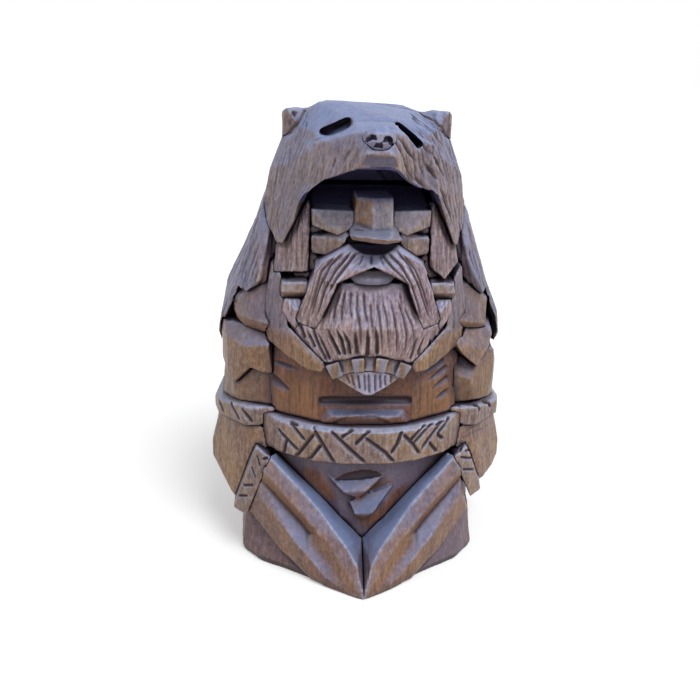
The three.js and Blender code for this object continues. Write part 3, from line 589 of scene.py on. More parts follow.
# Each wood's brown, golden, worn and painted sky-sheen tone, then how much painted sky sheen
# lies on what faces up, the roughness of its smooth grain, and how much its edges are worn and
# carry a painted highlight
WOODS = {
    "pelt": ([(136, 118, 126), (156, 130, 118), (196, 180, 186), (124, 144, 194)], 0.85, 0.4, 0.5),
    "face": ([(130, 110, 110), (150, 122, 106), (194, 176, 168), (122, 136, 168)], 0.75, 0.4, 0.6),
    "hair": ([(166, 138, 150), (180, 148, 138), (230, 212, 216), (160, 170, 212)], 0.85, 0.42, 1.0),
    "sleeve": ([(140, 102, 84), (160, 122, 84), (196, 168, 144), (112, 124, 160)], 0.75, 0.34, 0.45),
    "hand": ([(132, 96, 88), (156, 114, 80), (184, 154, 136), (118, 138, 182)], 0.95, 0.32, 0.6),
    "band": ([(138, 112, 108), (160, 128, 98), (196, 176, 164), (140, 154, 190)], 0.7, 0.38, 0.8),
    "robe": ([(112, 70, 54), (132, 84, 54), (160, 116, 90), (96, 110, 146)], 0.85, 0.34, 0.35),
    "base": ([(120, 90, 90), (132, 98, 84), (166, 134, 124), (112, 114, 140)], 0.4, 0.38, 0.2),
}
MATERIALS = {name: stained_wood(name, *look) for name, look in WOODS.items()}


# Bear-skin hood

def hood_way(place):
    """Fur runs out from the muzzle and down the cheeks."""
    spread = 0.85 - 0.045 * abs(place.x)
    if place.z < 66:
        spread = 0.35
    if place.x < 0:
        spread *= 0.55
    back = -0.25 if place.y > -6 else 0.0
    return (math.copysign(spread, place.x), back, -1)


def in_mouth(place, normal):
    """The roof, the back and the sides of the bear's open mouth."""
    inner = (np.abs(place[:, 0]) < 10.5) & (place[:, 2] > 60) & (place[:, 1] < 0)
    roof = (normal[:, 2] < -0.62) & (place[:, 2] > 64)
    back = (place[:, 1] > -10) & (normal[:, 1] < -0.4)
    sides = (place[:, 1] > -17) & (place[:, 0] * normal[:, 0] < -0.35 * np.abs(place[:, 0]))
    return inner & (roof | back | sides)


NOSTRILS = [
    [(-2.2, 75.9), (-2, 76.4), (-1.8, 76.6), (-1.3, 76.9), (-0.8, 76.8), (-0.6, 76.1),
     (-1, 76.2), (-1.3, 76.2), (-1.9, 75.9)],
    [(0.3, 75.9), (0.4, 76.6), (1, 76.8), (1.6, 76.4), (2.1, 75.4), (1.8, 75.1),
     (0.9, 76), (0.5, 75.8)],
    [(-1.1, 75.3), (-0.6, 75.8), (-0.2, 75.7), (0.1, 75.9), (0.3, 75.3), (0, 75.1),
     (-0.4, 75.3), (-0.9, 75.2)],
]
LIP_FACET = [(-2.2, 74), (-1.2, 73.9), (-0.5, 73.7), (2.3, 73.7), (2.8, 72.2), (0.6, 71.8),
             (-0.5, 72), (-2.5, 72.4)]
NOSE_PLACE = (-0.2, -22.5, 76)
NOSE_RADIUS = 4.5

# Strokes cut into the hood, and the slot of the eye
DEEP_STROKES = [
    [(6.2, 78.4), (7, 78), (7.6, 77)], [(6.5, 78), (7, 77.4), (8.7, 76.4)],
    [(8.3, 77.9), (9.9, 77), (11.3, 75.5), (11.9, 74.4)],
    [(9.5, 77.5), (11.2, 76.3), (12.7, 74.9)], [(8.7, 76.8), (9.8, 75.9), (11.7, 73.6)],
    [(2.7, 76.5), (4.1, 75.1), (6.5, 73.2)], [(2.2, 76.2), (3.2, 74.7), (4.8, 72.3)],
    [(3.2, 74.6), (4.5, 72.7), (6.8, 70.6)], [(4, 72.4), (5.2, 71.2), (7.7, 69.3)],
    [(5.6, 72.5), (7.2, 70.5), (8.7, 68.8)], [(6, 75.5), (7.5, 74.6), (9.2, 73)],
    [(8.2, 69.6), (9.7, 67.1), (11, 65)],
]
BROAD_STROKES = [
    [(7.7, 72.8), (9.2, 71), (10.5, 68.7)], [(8.9, 73.5), (10.6, 71.1), (12, 68.6)],
    [(10.5, 68.7), (11.9, 65.9), (13.4, 62.3)], [(11, 66.7), (12.8, 63.8), (13.6, 61.1)],
]
FINE_STROKES = [
    [(-11.8, 76.9), (-12.1, 74.8), (-12, 72.7)], [(-10.2, 76.9), (-10.6, 74.9)],
    [(-9.8, 78.4), (-10.8, 76.5), (-11.4, 74.5)], [(-12.8, 73.2), (-13.1, 70.6), (-13.2, 68.5)],
    [(-14.6, 70.2), (-15, 68), (-15.1, 65.7)], [(-3.4, 76.1), (-3.9, 74.5), (-4.5, 72.9)],
    [(-2.9, 75.2), (-3.5, 73.4), (-3.9, 72.1)], [(-3.9, 74.7), (-4.8, 73.2), (-5.4, 71.3)],
    [(-6.1, 72.9), (-6.8, 70.7)], [(-15.6, 62.8), (-16, 60.3), (-15.6, 58.6)],
    [(-14.4, 63), (-14.8, 60.5), (-14.2, 58.6)],
]
EYE_SLOT = [(-7, 75.9), (-3.5, 77.9)]


def muzzle_ledges(place, normal):
    """The hard steps of the muzzle's top."""
    return ((np.abs(place[:, 0]) < 9) & (place[:, 2] > 75)
            & (place[:, 1] > -19) & (np.abs(place[:, 1] + 14) < 3.4))


def hood_left(place, normal):
    """The hood's own left half, but for the calm muzzle."""
    away = (place[:, 0] > 4) | (place[:, 2] < 71)
    calm = (place[:, 2] > 75) & (place[:, 0] < 6)
    return away & ~calm & (place[:, 0] > 1.5) & (normal[:, 2] > -0.4)


def hood_right(place, normal):
    """The hood's own right half, but for the calm brow."""
    brow = (place[:, 2] > 73.5) & (place[:, 0] > -9.5)
    return ~brow & (place[:, 0] < -2) & (normal[:, 2] > -0.4) & (place[:, 1] < 2)


def hood_behind(place, normal):
    return (place[:, 1] > 1) & (normal[:, 2] > -0.5)


def carve_hood():
    hood = Carving("bear_hood", HOOD_GRID, grow=0)
    hood.join(["ear_left", "ear_right", "bear_nose"], 0.42)
    hood.join(["pelt_side_left", "pelt_side_right", "pelt_back"])
    hood.ease(muzzle_ledges, 14)
    hood.paint("shade", in_mouth)
    hood.hew(3.4, 0.1, 11, 1.6)
    # The bottoms of the deep and broad strokes take painted shade
    hood.front_grooves(DEEP_STROKES, 0.85, 0.5, lean=0.3, dark=0.5)
    hood.front_grooves(BROAD_STROKES, 1.15, 0.7, lean=0.3, dark=0.6)
    hood.front_grooves(FINE_STROKES, 0.65, 0.24)
    hood.front_grooves([EYE_SLOT], 1.6, 0.9, taper=(0.9, 0.03))
    # No painted shade and no darkened hollows round the bear's nose
    beside_nose = np.linalg.norm(hood.rest - NOSE_PLACE, axis=1) < NOSE_RADIUS
    hood.paints["shade_and_stain"][beside_nose] = 0
    hood.hollow_dark_off[beside_nose] = 1
    hood.sink(LIP_FACET, 0.22)
    # Painted warm light and painted sky sheen on the lip facet
    hood.paint("gold", within(LIP_FACET), 0.2)
    hood.paint("sky_sheen", within(LIP_FACET), 0.35)
    for nostril in NOSTRILS:
        hood.sink(nostril, 0.5, 1.0)
    hood.fur(hood_left, hood_way, 1.7, (3, 7), (0.45, 0.85), (0.18, 0.4), 3)
    hood.fur(hood_right, hood_way, 1.5, (4, 9), (0.4, 0.6), (0.08, 0.18), 4)
    hood.fur(hood_behind, hood_way, 2.4, (4, 8), (0.6, 1.0), (0.18, 0.34), 5)
    hood.spare_walls()
    hood.pull((6.0, -18.7, 70.4), (-0.3, 0, -1.3), 6.8)
    hood.pull((-9.4, -15.0, 64.6), (-0.8, 0, 0), 4.0)
    hood.piece("pelt")


def carve_bear_nose():
    nose = Carving("bear_nose", NOSE_GRID, grow=0)
    nose.join(["bear_hood"], 0.42)
    # No painted shade beside other forms, no darkened hollows, and painted sky sheen all over
    nose.paints["shade_and_stain"] *= 0
    nose.hollow_dark_off[:] = 1
    nose.paint("sky_sheen", everywhere, 0.4)
    nose.ease(everywhere, 10)
    for nostril in NOSTRILS:
        nose.sink(nostril, 0.5, 1.0)
    nose.piece("pelt")


def carve_ears():
    for side, name in ((1, "ear_left"), (-1, "ear_right")):
        ear = Carving(name, BAND_GRID, grow=0)
        ear.join(["bear_hood"], 0.5)
        ear.hew(2.6, 0.08, 13)
        if side < 0:
            ear.front_grooves([[(-12.6, 77.7), (-11.6, 77.8)], [(-12.4, 77.8), (-12, 77.1)]],
                              0.9, 0.5)
        else:
            ear.fur(lambda place, normal: normal[:, 2] > -0.4, hood_way, 1.9,
                    (2, 4), (0.5, 0.8), (0.15, 0.28), 6)
        ear.piece("pelt")


def pelt_way(place):
    """Fur hangs down and runs a little outwards."""
    spread = 0.25 if abs(place.x) > 3 else 0.08
    return (math.copysign(spread, place.x), -0.15 if place.y < 0 else 0.05, -1)


# The shadowed inner edge of the pelt at the figure's left, and at its right the strip painted
# in warm light and the painted shadow beside it
LEFT_FOLD = [(15.9, 57.6), (14.8, 55), (15.2, 52.2), (16.7, 50.8), (19, 48.2), (20.4, 49.3),
             (18.3, 52.4), (17.2, 55), (16.7, 57)]
RIGHT_STRIP = [(-18, 56.6), (-18.6, 54), (-18.4, 51), (-16.9, 51), (-16.4, 56.8)]
RIGHT_FOLD = [(-16.9, 56.8), (-17, 54), (-16.9, 51), (-15.4, 51), (-15.4, 57)]


def left_hem(place, normal):
    return (place[:, 2] < 50) & (place[:, 1] < 3) & (normal[:, 0] < 0.45)


def right_hem(place, normal):
    return (place[:, 2] < 49) & (place[:, 1] < 3) & (normal[:, 0] > -0.5)


def carve_pelt_side(name, seed):
    side = Carving(name, PLAIN_GRID, grow=0)
    side.join(["bear_hood", "pelt_back"])
    side.shift = side.averaged(side.averaged(side.shift))
    if name == "pelt_side_left":
        # Painted shade in the inner fold and along the hem
        side.paint("shade_and_stain", within(LEFT_FOLD), 1.0)
        side.paint("shade_and_stain", left_hem, 0.9)
    else:
        # Painted warm light on the strip, painted shade in the fold beside it and along the hem
        side.paint("gold", within(RIGHT_STRIP), 0.9)
        side.paint("shade_and_stain", within(RIGHT_FOLD), 0.8)
        side.paint("shade_and_stain", right_hem, 0.85)
    side.blur("shade_and_stain", 4)
    side.hew(3.2, 0.1, seed, 1.6)
    side.fur(lambda place, normal: normal[:, 2] > -0.6, pelt_way, 2.2,
             (4, 9), (0.6, 1.1), (0.16, 0.36), seed + 10)
    side.spare_walls()
    side.piece("pelt")


def carve_pelt_back():
    back = Carving("pelt_back", BROAD_GRID, grow=0)
    back.join(["bear_hood", "pelt_side_left", "pelt_side_right"], 0.4)
    back.shift = back.averaged(back.averaged(back.shift))
    back.blur("shade_and_stain", 4)
    back.ease(lambda place, normal: (np.abs(place[:, 0]) > 12.5) & (place[:, 2] < 36), 4)
    back.hew(4, 0.14, 23, 2.2)
    back.fur(lambda place, normal: (normal[:, 1] > 0.1) | (np.abs(normal[:, 0]) > 0.5), pelt_way,
             2.6, (6, 13), (0.8, 1.4), (0.25, 0.5), 33)
    back.spare_walls(0.25)
    back.piece("pelt")


# Face, hair and beard

FACE_FORMS = ["face", "nose", "brow_left", "brow_right", "cheek_left", "cheek_right"]
CHEEK_WEDGE = [(2.8, 62.3), (4.3, 60.9), (5.6, 60.9), (5.7, 59.1), (6.8, 57), (4, 58.6)]
NOSE_WING = [(-3.2, -17.9, 62.1), (-1.1, -20.6, 62.3)]


def carve_face():
    face = Carving("face", PLAIN_GRID)
    face.shade_above(63.8, 0.8)
    face.hew(3, 0.08, 41, 1.5)
    face.piece("face")


def face_form(name, seed):
    form = Carving(name, HAIR_GRID)
    form.join([other for other in FACE_FORMS if other != name])
    form.hew(2.6, 0.04, seed)
    return form


def carve_nose():
    nose = face_form("nose", 42)
    # Painted warm light on the side of the nose that faces the figure's right
    nose.paint("gold", lambda place, normal: (normal[:, 0] < -0.35) & (place[:, 2] > 62.2))
    nose.shade_above(66.2, 0.9)
    nose.laid_grooves([NOSE_WING], 0.5, 0.26)
    nose.piece("face")


def carve_brows():
    for name, seed in (("brow_left", 43), ("brow_right", 44)):
        brow = face_form(name, seed)
        brow.shade_above(64.3, 0.7, 0.85)
        brow.piece("face")


def carve_cheeks():
    left = face_form("cheek_left", 45)
    # Painted shade in a wedge of the left cheek
    left.paint("shade_and_stain", within(CHEEK_WEDGE), 0.75)
    left.piece("face")
    right = face_form("cheek_right", 46)
    # Painted warm light on the facet that faces the nose
    right.paint("gold", lambda place, normal: normal[:, 0] > 0.1, 0.8)
    right.piece("face")


def carve_lip():
    lip = Carving("lower_lip", HAIR_GRID)
    # Painted sky sheen on the front, and painted shadow on the top under the moustache
    lip.paint("sky_sheen", lambda place, normal: normal[:, 1] < 0, 0.6)
    lip.paint("shade_and_stain", lambda place, normal: place[:, 2] > 55.0, 0.9)
    lip.blur("shade_and_stain", 3)
    lip.piece("face")


def turned(lines, turn):
    """Lines as they are for a turn of 1, and mirrored for a turn of -1."""
    return [[(turn * side, up) for side, up in line] for line in lines]


def moustache_way(place):
    """Hair sweeps out and down from the middle, and hangs straight lower down."""
    spread = 0.75 if place.z > 54 else 0.35
    return (math.copysign(spread, place.x), 0, -1)


def under_arch(place, normal):
    """The thickness of the moustache, along its inner edge."""
    inward = place[:, 0] * normal[:, 0] < -0.5 * np.abs(place[:, 0])
    return ((normal[:, 2] < -0.45) | inward) & (place[:, 2] < 57.5) & (np.abs(place[:, 0]) < 8)


# Where the moustache and the beard run into each other, and the spacing, length, width and
# depth of the fine hair on both
MOUSTACHE_ENDS = 51
FINE_HAIR = (1.2, (2, 6), (0.36, 0.5), (0.08, 0.2))


def carve_moustache():
    moustache = Carving("moustache", HAIR_GRID)
    moustache.join(["beard"], 0.3, lambda place: place[2] < MOUSTACHE_ENDS)
    moustache.shade_above(58.5 + 0.11 * (moustache.rest[:, 0] - 0.3) ** 2, 0.5)
    # Painted shade along the moustache's inner edge and underside
    moustache.paint("shade_and_stain", under_arch, 0.9)
    moustache.front_grooves([[(-3.4, 60.3), (0.3, 59.6), (4, 60.2)]], 3.2, 1.2, jump=7,
                            taper=(0.3, 0.3))
    # Strokes whose bottoms take painted shade
    moustache.front_grooves([
        [(-3.3, 59), (-5.8, 55.9), (-7.3, 52.9), (-8.2, 49.4), (-8.7, 47.7)],
        [(-4.4, 58.9), (-6.6, 56.4), (-8.2, 52.8), (-8.9, 50), (-9.4, 47.4)],
        [(-5.8, 58), (-7.9, 55.4), (-8.8, 51.9), (-9.7, 48.1)],
        [(-2.5, 58.9), (-4.3, 56.7), (-5.8, 54.6), (-6.9, 52.1)],
        [(2, 59.1), (4.4, 56.9), (6.1, 54.1), (7.4, 50.6), (8.4, 47.7)],
        [(3.4, 59.3), (5.7, 56.9), (7.5, 53.3), (9.1, 49.1), (9.9, 47)],
        [(4.6, 58.6), (6.8, 56), (8.2, 52.8), (9.8, 48.2)],
        [(1.1, 59), (2.8, 57), (4.7, 55.2), (6, 53.2)],
    ], 0.75, 0.38, lean=0.2, taper=(0.1, 0.2), dark=0.6)
    moustache.front_grooves([
        [(-7.4, 57), (-8.6, 55.2), (-9.3, 52.3)], [(-1.4, 58.7), (-2.5, 56.8)],
        [(-0.3, 58.6), (-0.4, 57.2)], [(0.9, 58.6), (1.7, 56.9)],
        [(5.5, 57.9), (7.5, 55.6), (8.7, 52.1)], [(-4.8, 57.6), (-6.4, 55), (-7.6, 51.6)],
        [(3.6, 57.4), (5.6, 55), (6.9, 51.6)], [(8.6, 53.4), (9.6, 49.6), (10.3, 47.2)],
        [(-8.9, 53.6), (-9.8, 50), (-10.6, 47.2)],
    ], 0.55, 0.26, taper=(0.15, 0.3))
    moustache.fur(lambda place, normal: (normal[:, 1] < -0.3) & (np.abs(place[:, 0]) > 1),
                  moustache_way, *FINE_HAIR, 49)
    moustache.piece("hair")


def carve_beard():
    beard = Carving("beard", HAIR_GRID)
    beard.join(["moustache"], 0.3, lambda place: place[2] < MOUSTACHE_ENDS)
    beard.front_grooves([
        [(-4.9, 52.7), (-5.7, 50), (-6, 47.2)], [(-4.2, 52.8), (-4.7, 49.7), (-4.7, 47.4)],
        [(-3.2, 52.8), (-3.4, 50.2), (-3, 48)],
        [(-2.2, 52.8), (-2.3, 49.9), (-1.8, 47.3), (-1.4, 42.6)],
        [(-1.3, 52.6), (-1.1, 49.9), (-0.5, 47.3)], [(-0.2, 51.3), (-0.1, 48.8), (0.4, 45.6)],
        [(0.7, 51.5), (1.2, 48.8), (1.6, 45.6), (1.9, 42.6)],
        [(1.6, 51.4), (2.4, 48.4), (2.8, 44.8), (3.1, 42.1)],
        [(2.8, 51.7), (3.6, 48.7), (4.2, 45.4), (4.2, 42.4)],
        [(4, 51.5), (5.1, 48.6), (5.8, 45.5), (5.7, 41.7)],
        [(5, 50.5), (6.6, 47.2), (7.2, 44.6), (6.9, 42)], [(-6.6, 50), (-7.4, 47.7)],
    ], 0.7, 0.36, taper=(0.15, 0.2))
    # Deep strokes whose bottoms take painted shade
    beard.front_grooves([
        [(-7, 46.9), (-6, 44.7), (-4.7, 42.1)], [(-5.6, 46.9), (-4.6, 44.9), (-4, 42.2)],
        [(-8.3, 45.5), (-7.3, 43.4), (-6.3, 41.1)], [(-9.3, 46.3), (-8.1, 43.3), (-6.8, 40.8)],
        [(-4.5, 46.6), (-3.5, 44.4), (-3.2, 42.5)], [(-10, 45.3), (-8.6, 42.7)],
        [(-0.7, 47.3), (-0.4, 44.8), (-0.4, 42.1)], [(0.5, 47.7), (1, 45.2), (1.1, 42.6)],
        [(9, 44.7), (8.4, 43), (8.1, 41.5)], [(10.2, 44), (9.8, 42.1)],
        [(10.9, 44.3), (10.9, 43)], [(7.8, 45.3), (7.3, 43.2), (6.8, 41.1)],
        [(-2.6, 46.9), (-2.3, 44.7), (-2, 42.6)], [(-11.4, 46.4), (-10.2, 43.8)],
    ], 0.9, 0.6, lean=0.2, taper=(0.4, 0.06), dark=0.7)
    beard.fur(faces_front,
              lambda place: (0.03 * place.x if place.z > 46 else -0.06 * place.x, 0, -1),
              *FINE_HAIR, 51)
    beard.piece("hair")


def carve_beard_tip():
    tip = Carving("beard_tip", RING_GRID)
    tip.front_grooves([
        [(-3.6, 38.3), (-3, 36.9)], [(-2.8, 38.5), (-2.3, 36.5)], [(-1.8, 38.7), (-1.4, 36)],
        [(-0.8, 38.9), (-0.5, 35.6)], [(-0.1, 38.9), (0.2, 35.3)], [(1, 38.9), (1.2, 35.4)],
        [(1.8, 38.7), (2.1, 35.8)], [(2.6, 38.5), (2.9, 36.3)], [(3.7, 38.3), (3.8, 36.7)],
        [(4.5, 38), (4.5, 37)],
    ], 0.6, 0.34, taper=(0.1, 0.15))
    # Less painted shade beside other forms, and painted sky sheen on the front of the middle
    tip.paints["shade_and_stain"] *= 0.4
    tip.paint("sky_sheen", lambda place, normal: (normal[:, 1] < -0.2)
              & (np.abs(place[:, 0] - 0.6) < 2.6), 0.55)
    tip.piece("hair")


def carve_beard_ring():
    ring = Carving("beard_ring", RING_GRID, grow=0.1)
    ring.hew(1.8, 0.04, 52)
    # Painted sky sheen in stripes round the ring
    ring.paint("sky_sheen", lambda place, normal: np.sin((place[:, 0] + 0.6) * 2.9) > 0, 0.55)
    ring.piece("band")


# Grooves of the figure's right lock and tail
LOCK_LINES = [
    [(-12.4, 61), (-12.7, 54)], [(-11.7, 62), (-11.7, 53.8)],
    [(-10.8, 63.6), (-10.8, 53.8)], [(-13.4, 58), (-13.4, 53.4)],
    [(-14.1, 57), (-14.3, 53.6)],
]
TAIL_LINES = [[(-12.4, 49.9), (-12.5, 46.8)], [(-11.5, 49.9), (-11.9, 46.2)],
              [(-13.1, 49.6), (-13, 47.4)]]


def carve_side_hair(side, name):
    """The lock, its ring and the tail under it. The side is 1 for left and -1 for right."""
    lock = Carving("hair_lock_" + name, HAIR_GRID)
    lock.front_grooves(turned(LOCK_LINES, -side), 0.5, 0.2, taper=(0.2, 0.1))
    # A darker tone over the whole lock
    lock.paint("shade_and_stain", everywhere, 0.25)
    lock.fur(faces_front, lambda place: (0.04 * side, 0, -1),
             1.0, (2, 6), (0.36, 0.55), (0.08, 0.22), 95 + side)
    lock.piece("hair")
    ring = Carving("hair_ring_" + name, RING_GRID)
    ring.hew(1.8, 0.05, 53 + side)
    ring.piece("band")
    tail = Carving("hair_tail_" + name, RING_GRID)
    tail.front_grooves(turned(TAIL_LINES, -side), 0.6, 0.2, taper=(0.1, 0.3))
    tail.piece("hair")


# Arms

# Notches in the bands, as (side, depth, up)
BAND_NOTCHES = {
    "arm_band_right": [
        [(-25.5, -2.1, 27.4), (-24.9, -3.4, 26.7), (-24.5, -4, 25.4)],
        [(-23.2, -5.5, 28.3), (-22.2, -7, 27), (-21.3, -8.1, 25.7)],
        [(-21.1, -8.5, 28.5), (-20, -9.4, 27.4), (-19, -9.8, 26.2)],
    ],
    "arm_band_left": [
        [(19.6, -9.2, 29.9), (20.5, -8.7, 28.9), (21.2, -8.5, 27.6)],
        [(21.9, -7.2, 29.4), (22.9, -5.6, 28.2), (24, -4.7, 26.8)],
    ],
    "wrist_band_right": [
        [(-18.3, -12, 21), (-17.7, -12.7, 19.1)], [(-19.3, -11.3, 18.4), (-18.5, -12.2, 16.5)],
        [(-20.9, -9.9, 14), (-18.9, -11.9, 15.1)], [(-21.9, -9.2, 11.5), (-20, -11.2, 12.6)],
        [(-17.3, -12.8, 20.6), (-16.3, -13.5, 21.4)],
    ],
    "wrist_band_left": [
        [(16.7, -13, 22.4), (19.4, -9.3, 20.2)], [(17.2, -13.2, 21), (20.2, -9.4, 18.9)],
        [(18.2, -13, 18.4), (20.8, -10, 16.9)],
    ],
}

# The forms of a sleeve and the seeds of their hollows, and the folds of the left forearm
SLEEVE_FORMS = {"shoulder_": 63, "sleeve_upper_": 66, "sleeve_lower_": 69}
SLEEVE_FOLDS = [[(21.1, 25.4), (22.4, 20.9)], [(19.9, 25), (20.6, 21.1)],
                [(23.4, 24.6), (24.4, 20)]]

# The end of the groove along the figure's left hand, and the meeting of the two hands
HAND_GROOVE_END = [(9.6, 8.4), (6.9, 9.7), (3.7, 5.1), (0.9, 1.1), (2.1, 0.4), (6.8, 2.4),
                   (9.3, 5.9)]
HANDS_MEET = 0.3


def carve_collar(side, name):
    collar = Carving("collar_" + name, SLEEVE_GRID)
    collar.join(["shoulder_" + name, "beard", "hair_tail_" + name], 0.4)
    # Less painted shade beside other forms, and painted sky sheen on the front of its top
    collar.paints["shade_and_stain"] *= 0.5
    collar.paint("sky_sheen", lambda place, normal: (place[:, 2] > 44) & (normal[:, 1] < 0), 0.45)
    collar.blur("sky_sheen", 6)
    collar.fur(faces_front, lambda place: (0.1, 0, -1),
               1.8, (3, 7), (0.4, 0.6), (0.08, 0.16), 91 + side)
    collar.hew(2.8, 0.04, 61 + side)
    collar.piece("sleeve")


def carve_sleeves(side, name):
    for form, seed in SLEEVE_FORMS.items():
        sleeve = Carving(form + name, SLEEVE_GRID)
        sleeve.join([part + name for part in SLEEVE_FORMS if part != form], 0.3)
        if form == "shoulder_":
            sleeve.join(["collar_" + name], 0.4)
            # Less painted shade beside other forms, and a little darker all over
            sleeve.paints["shade_and_stain"] *= 0.5
            sleeve.paint("shade_and_stain", everywhere, 0.2)
        else:
            # Painted shade close to the torso
            sleeve.shade_near_forms(["torso"])
        if form == "sleeve_lower_":
            # A little darker all over
            sleeve.paint("shade_and_stain", everywhere, 0.25)
        sleeve.hew(4.2, 0.1, seed + side, 1.3)
        sleeve.piece("sleeve")


def carve_forearm(side, name):
    forearm = Carving("forearm_" + name, PLAIN_GRID)
    forearm.hew(4.4, 0.1, 72 + side, 1.5)
    if side > 0:
        forearm.front_grooves(SLEEVE_FOLDS, 0.8, 0.16)
    forearm.piece("sleeve")


def carve_hand(side, name, other):
    hand = Carving("hand_" + name, SLEEVE_GRID)
    hand.join(["hand_" + other], 0.42)
    hand.ease(within(turned([HAND_GROOVE_END], side)[0]), 160)
    # Little painted shade beside other forms, and no darkened hollows where the hands meet
    hand.paints["shade_and_stain"] *= 0.15
    hand.hollow_dark_off[np.abs(hand.rest[:, 0] - HANDS_MEET) < 1.2] = 1
    hand.hew(4.4, 0.07, 75 + side, 1.3)
    hand.piece("hand")


def carve_bands():
    for name, lines in BAND_NOTCHES.items():
        band = Carving(name, BAND_GRID)
        width = 0.9 if name.startswith("arm") else 0.55
        # The notches' bottoms take painted shade
        band.laid_grooves(lines, width, 0.45, lean=0.3, taper=(0.12, 0.12), dark=0.9)
        band.piece("band")


# Body

# The torso's front: the slot, the lip under it, the painted shadow over it, the planes
# beside it painted in warm light and the creases, as (side, up) or (side, depth, up)
SLOT = [(-8.4, 34), (8.2, 34.2), (8.2, 31.4), (-8.4, 31)]
SLOT_FLOOR = -14.2
SLOT_LIP = [(-5.4, 29.2), (-3.5, 30.2), (1.5, 30.5), (4.2, 29.1)]
SLOT_SHADOW = [(-8, 33.3), (-2.5, 33.8), (0, 34.6), (3, 33.8), (7.7, 33.6), (7.7, 31.9), (-8, 31.5)]
WARM_LIT_PLANES = [
    [(-15.5, 32.6), (-10.9, 35.2), (-8.5, 36.4), (-8.1, 32.7), (-8.1, 28), (-15.5, 27)],
    [(7.8, 36.4), (13.2, 36.4), (14.9, 34), (14.9, 28), (7.8, 28)],
]
BROAD_CREASE = [(-15.9, -10.5, 35.5), (-14.1, -11.6, 34.3), (-12.4, -12.7, 33.2)]
NARROW_CREASE = [(-15.4, -10.8, 38), (-13.4, -11.8, 37.7), (-11.1, -13, 37.4)]
LEFT_CREASES = [
    [(9.7, -13.8, 36.9), (11.6, -12.9, 38.2), (13.6, -11.6, 38.9)],
    [(10.3, -13.8, 35.5), (12.1, -12.7, 36.5), (14.2, -11.5, 37.6)],
    [(11.2, -13.4, 33.8), (12.8, -12.4, 34.8), (14.5, -11.4, 35.7)],
    [(11.9, -13.1, 31.8), (13, -12.4, 32.4), (14.6, -11.4, 33.2)],
]
FLUTES = [[(9.1, 35.8), (9.4, 29.5)], [(10.5, 34.5), (10.9, 29.1)], [(12.1, 31.4), (12.6, 29.2)]]

# Where the skirt stays brown, without the painted sky sheen: the leaf cut and three patches
SKIRT_BROWN = [
    [(-5, 18.5), (-2.9, 19.5), (0.1, 20.1), (2.1, 19.8), (3.7, 19.2), (2.9, 19.2),
     (-0.9, 18.7)],
    [(-10.9, 19), (-7.9, 19.5), (-5.3, 16.4), (-4.3, 14), (-5.8, 14.2), (-9.4, 17.1)],
    [(-2.2, 14.7), (0, 17.6), (4.5, 18.2), (5.6, 17.4), (2, 16.6), (-1.6, 14.5)],
    [(-2.1, 12.4), (0.4, 13.3), (2.5, 12.4), (5.9, 16.1), (8.6, 16.6), (6.8, 14),
     (2.2, 9.2), (0.7, 9)],
]

# The facet at the skirt's middle that catches the light
SKIRT_FACET = [(-2.4, 13.1), (0.2, 15.2), (5.6, 17.2), (4.1, 14.9), (2.4, 12.6), (0.4, 12.6)]


def in_slot(place, normal):
    return within(SLOT)(place, normal) & (place[:, 1] > SLOT_FLOOR)


def carve_torso():
    torso = Carving("torso", BROAD_GRID)
    # Painted shade close to the sleeves
    torso.shade_near_forms(["sleeve_upper_left", "sleeve_lower_left", "sleeve_upper_right",
                      "sleeve_lower_right"])
    torso.hew(4.0, 0.08, 81, 1.8)
    torso.laid_grooves([BROAD_CREASE], 1.9, 0.8, lean=0.5, taper=(0.05, 0.6))
    torso.laid_grooves([NARROW_CREASE], 0.9, 0.45, taper=(0.2, 0.4))
    torso.laid_grooves(LEFT_CREASES, 1.2, 0.55, lean=0.5, taper=(0.6, 0.1))
    torso.front_grooves(FLUTES, 0.9, 0.14)
    torso.sink(SLOT_LIP, 0.3)
    # Painted warm light on the planes beside the slot
    for outline in WARM_LIT_PLANES:
        torso.paint("gold", within(outline), 0.5)
    torso.paint("shade", in_slot, 0.9)
    torso.blur("gold", 3)
    torso.paint("shade_and_stain", within(SLOT_SHADOW), 0.8)
    torso.piece("robe")


def carve_belt():
    belt = Carving("belt", BAND_GRID)
    belt.hew(3, 0.05, 82)
    # Cuts whose bottoms take painted shade
    belt.front_grooves([
        [(-13, 25.3), (-13.6, 22.1)], [(-12.7, 28.6), (-9.9, 25.7)],
        [(-14.7, 26.7), (-11, 23.6)], [(-8.4, 27.4), (-11.6, 22.1)],
        [(-7.2, 25.5), (-9.5, 22.1)], [(-8.9, 28.7), (-4.9, 22.2)],
        [(-6.1, 28.5), (-1.7, 24.4), (0.4, 22.4)], [(-2, 28.6), (-4.2, 26.9)],
        [(0.8, 28.5), (-1.8, 25.7)], [(-0.2, 27.3), (3.5, 24.5), (5.2, 22.4)],
        [(6.4, 28.5), (5.4, 25.7), (4.3, 24)], [(6.3, 27.6), (8.3, 25.4), (9.6, 23.4)],
        [(10.3, 28.7), (7.5, 25.9)], [(11.7, 28.6), (8, 25.3)], [(13.7, 28.6), (9.5, 23.9)],
        [(11.1, 25.2), (12.8, 22.9)], [(15, 28.3), (12.7, 26.1), (14, 24.9)],
    ], 0.85, 0.5, lean=0.5, taper=(0.08, 0.12), dark=0.9)
    belt.piece("band")


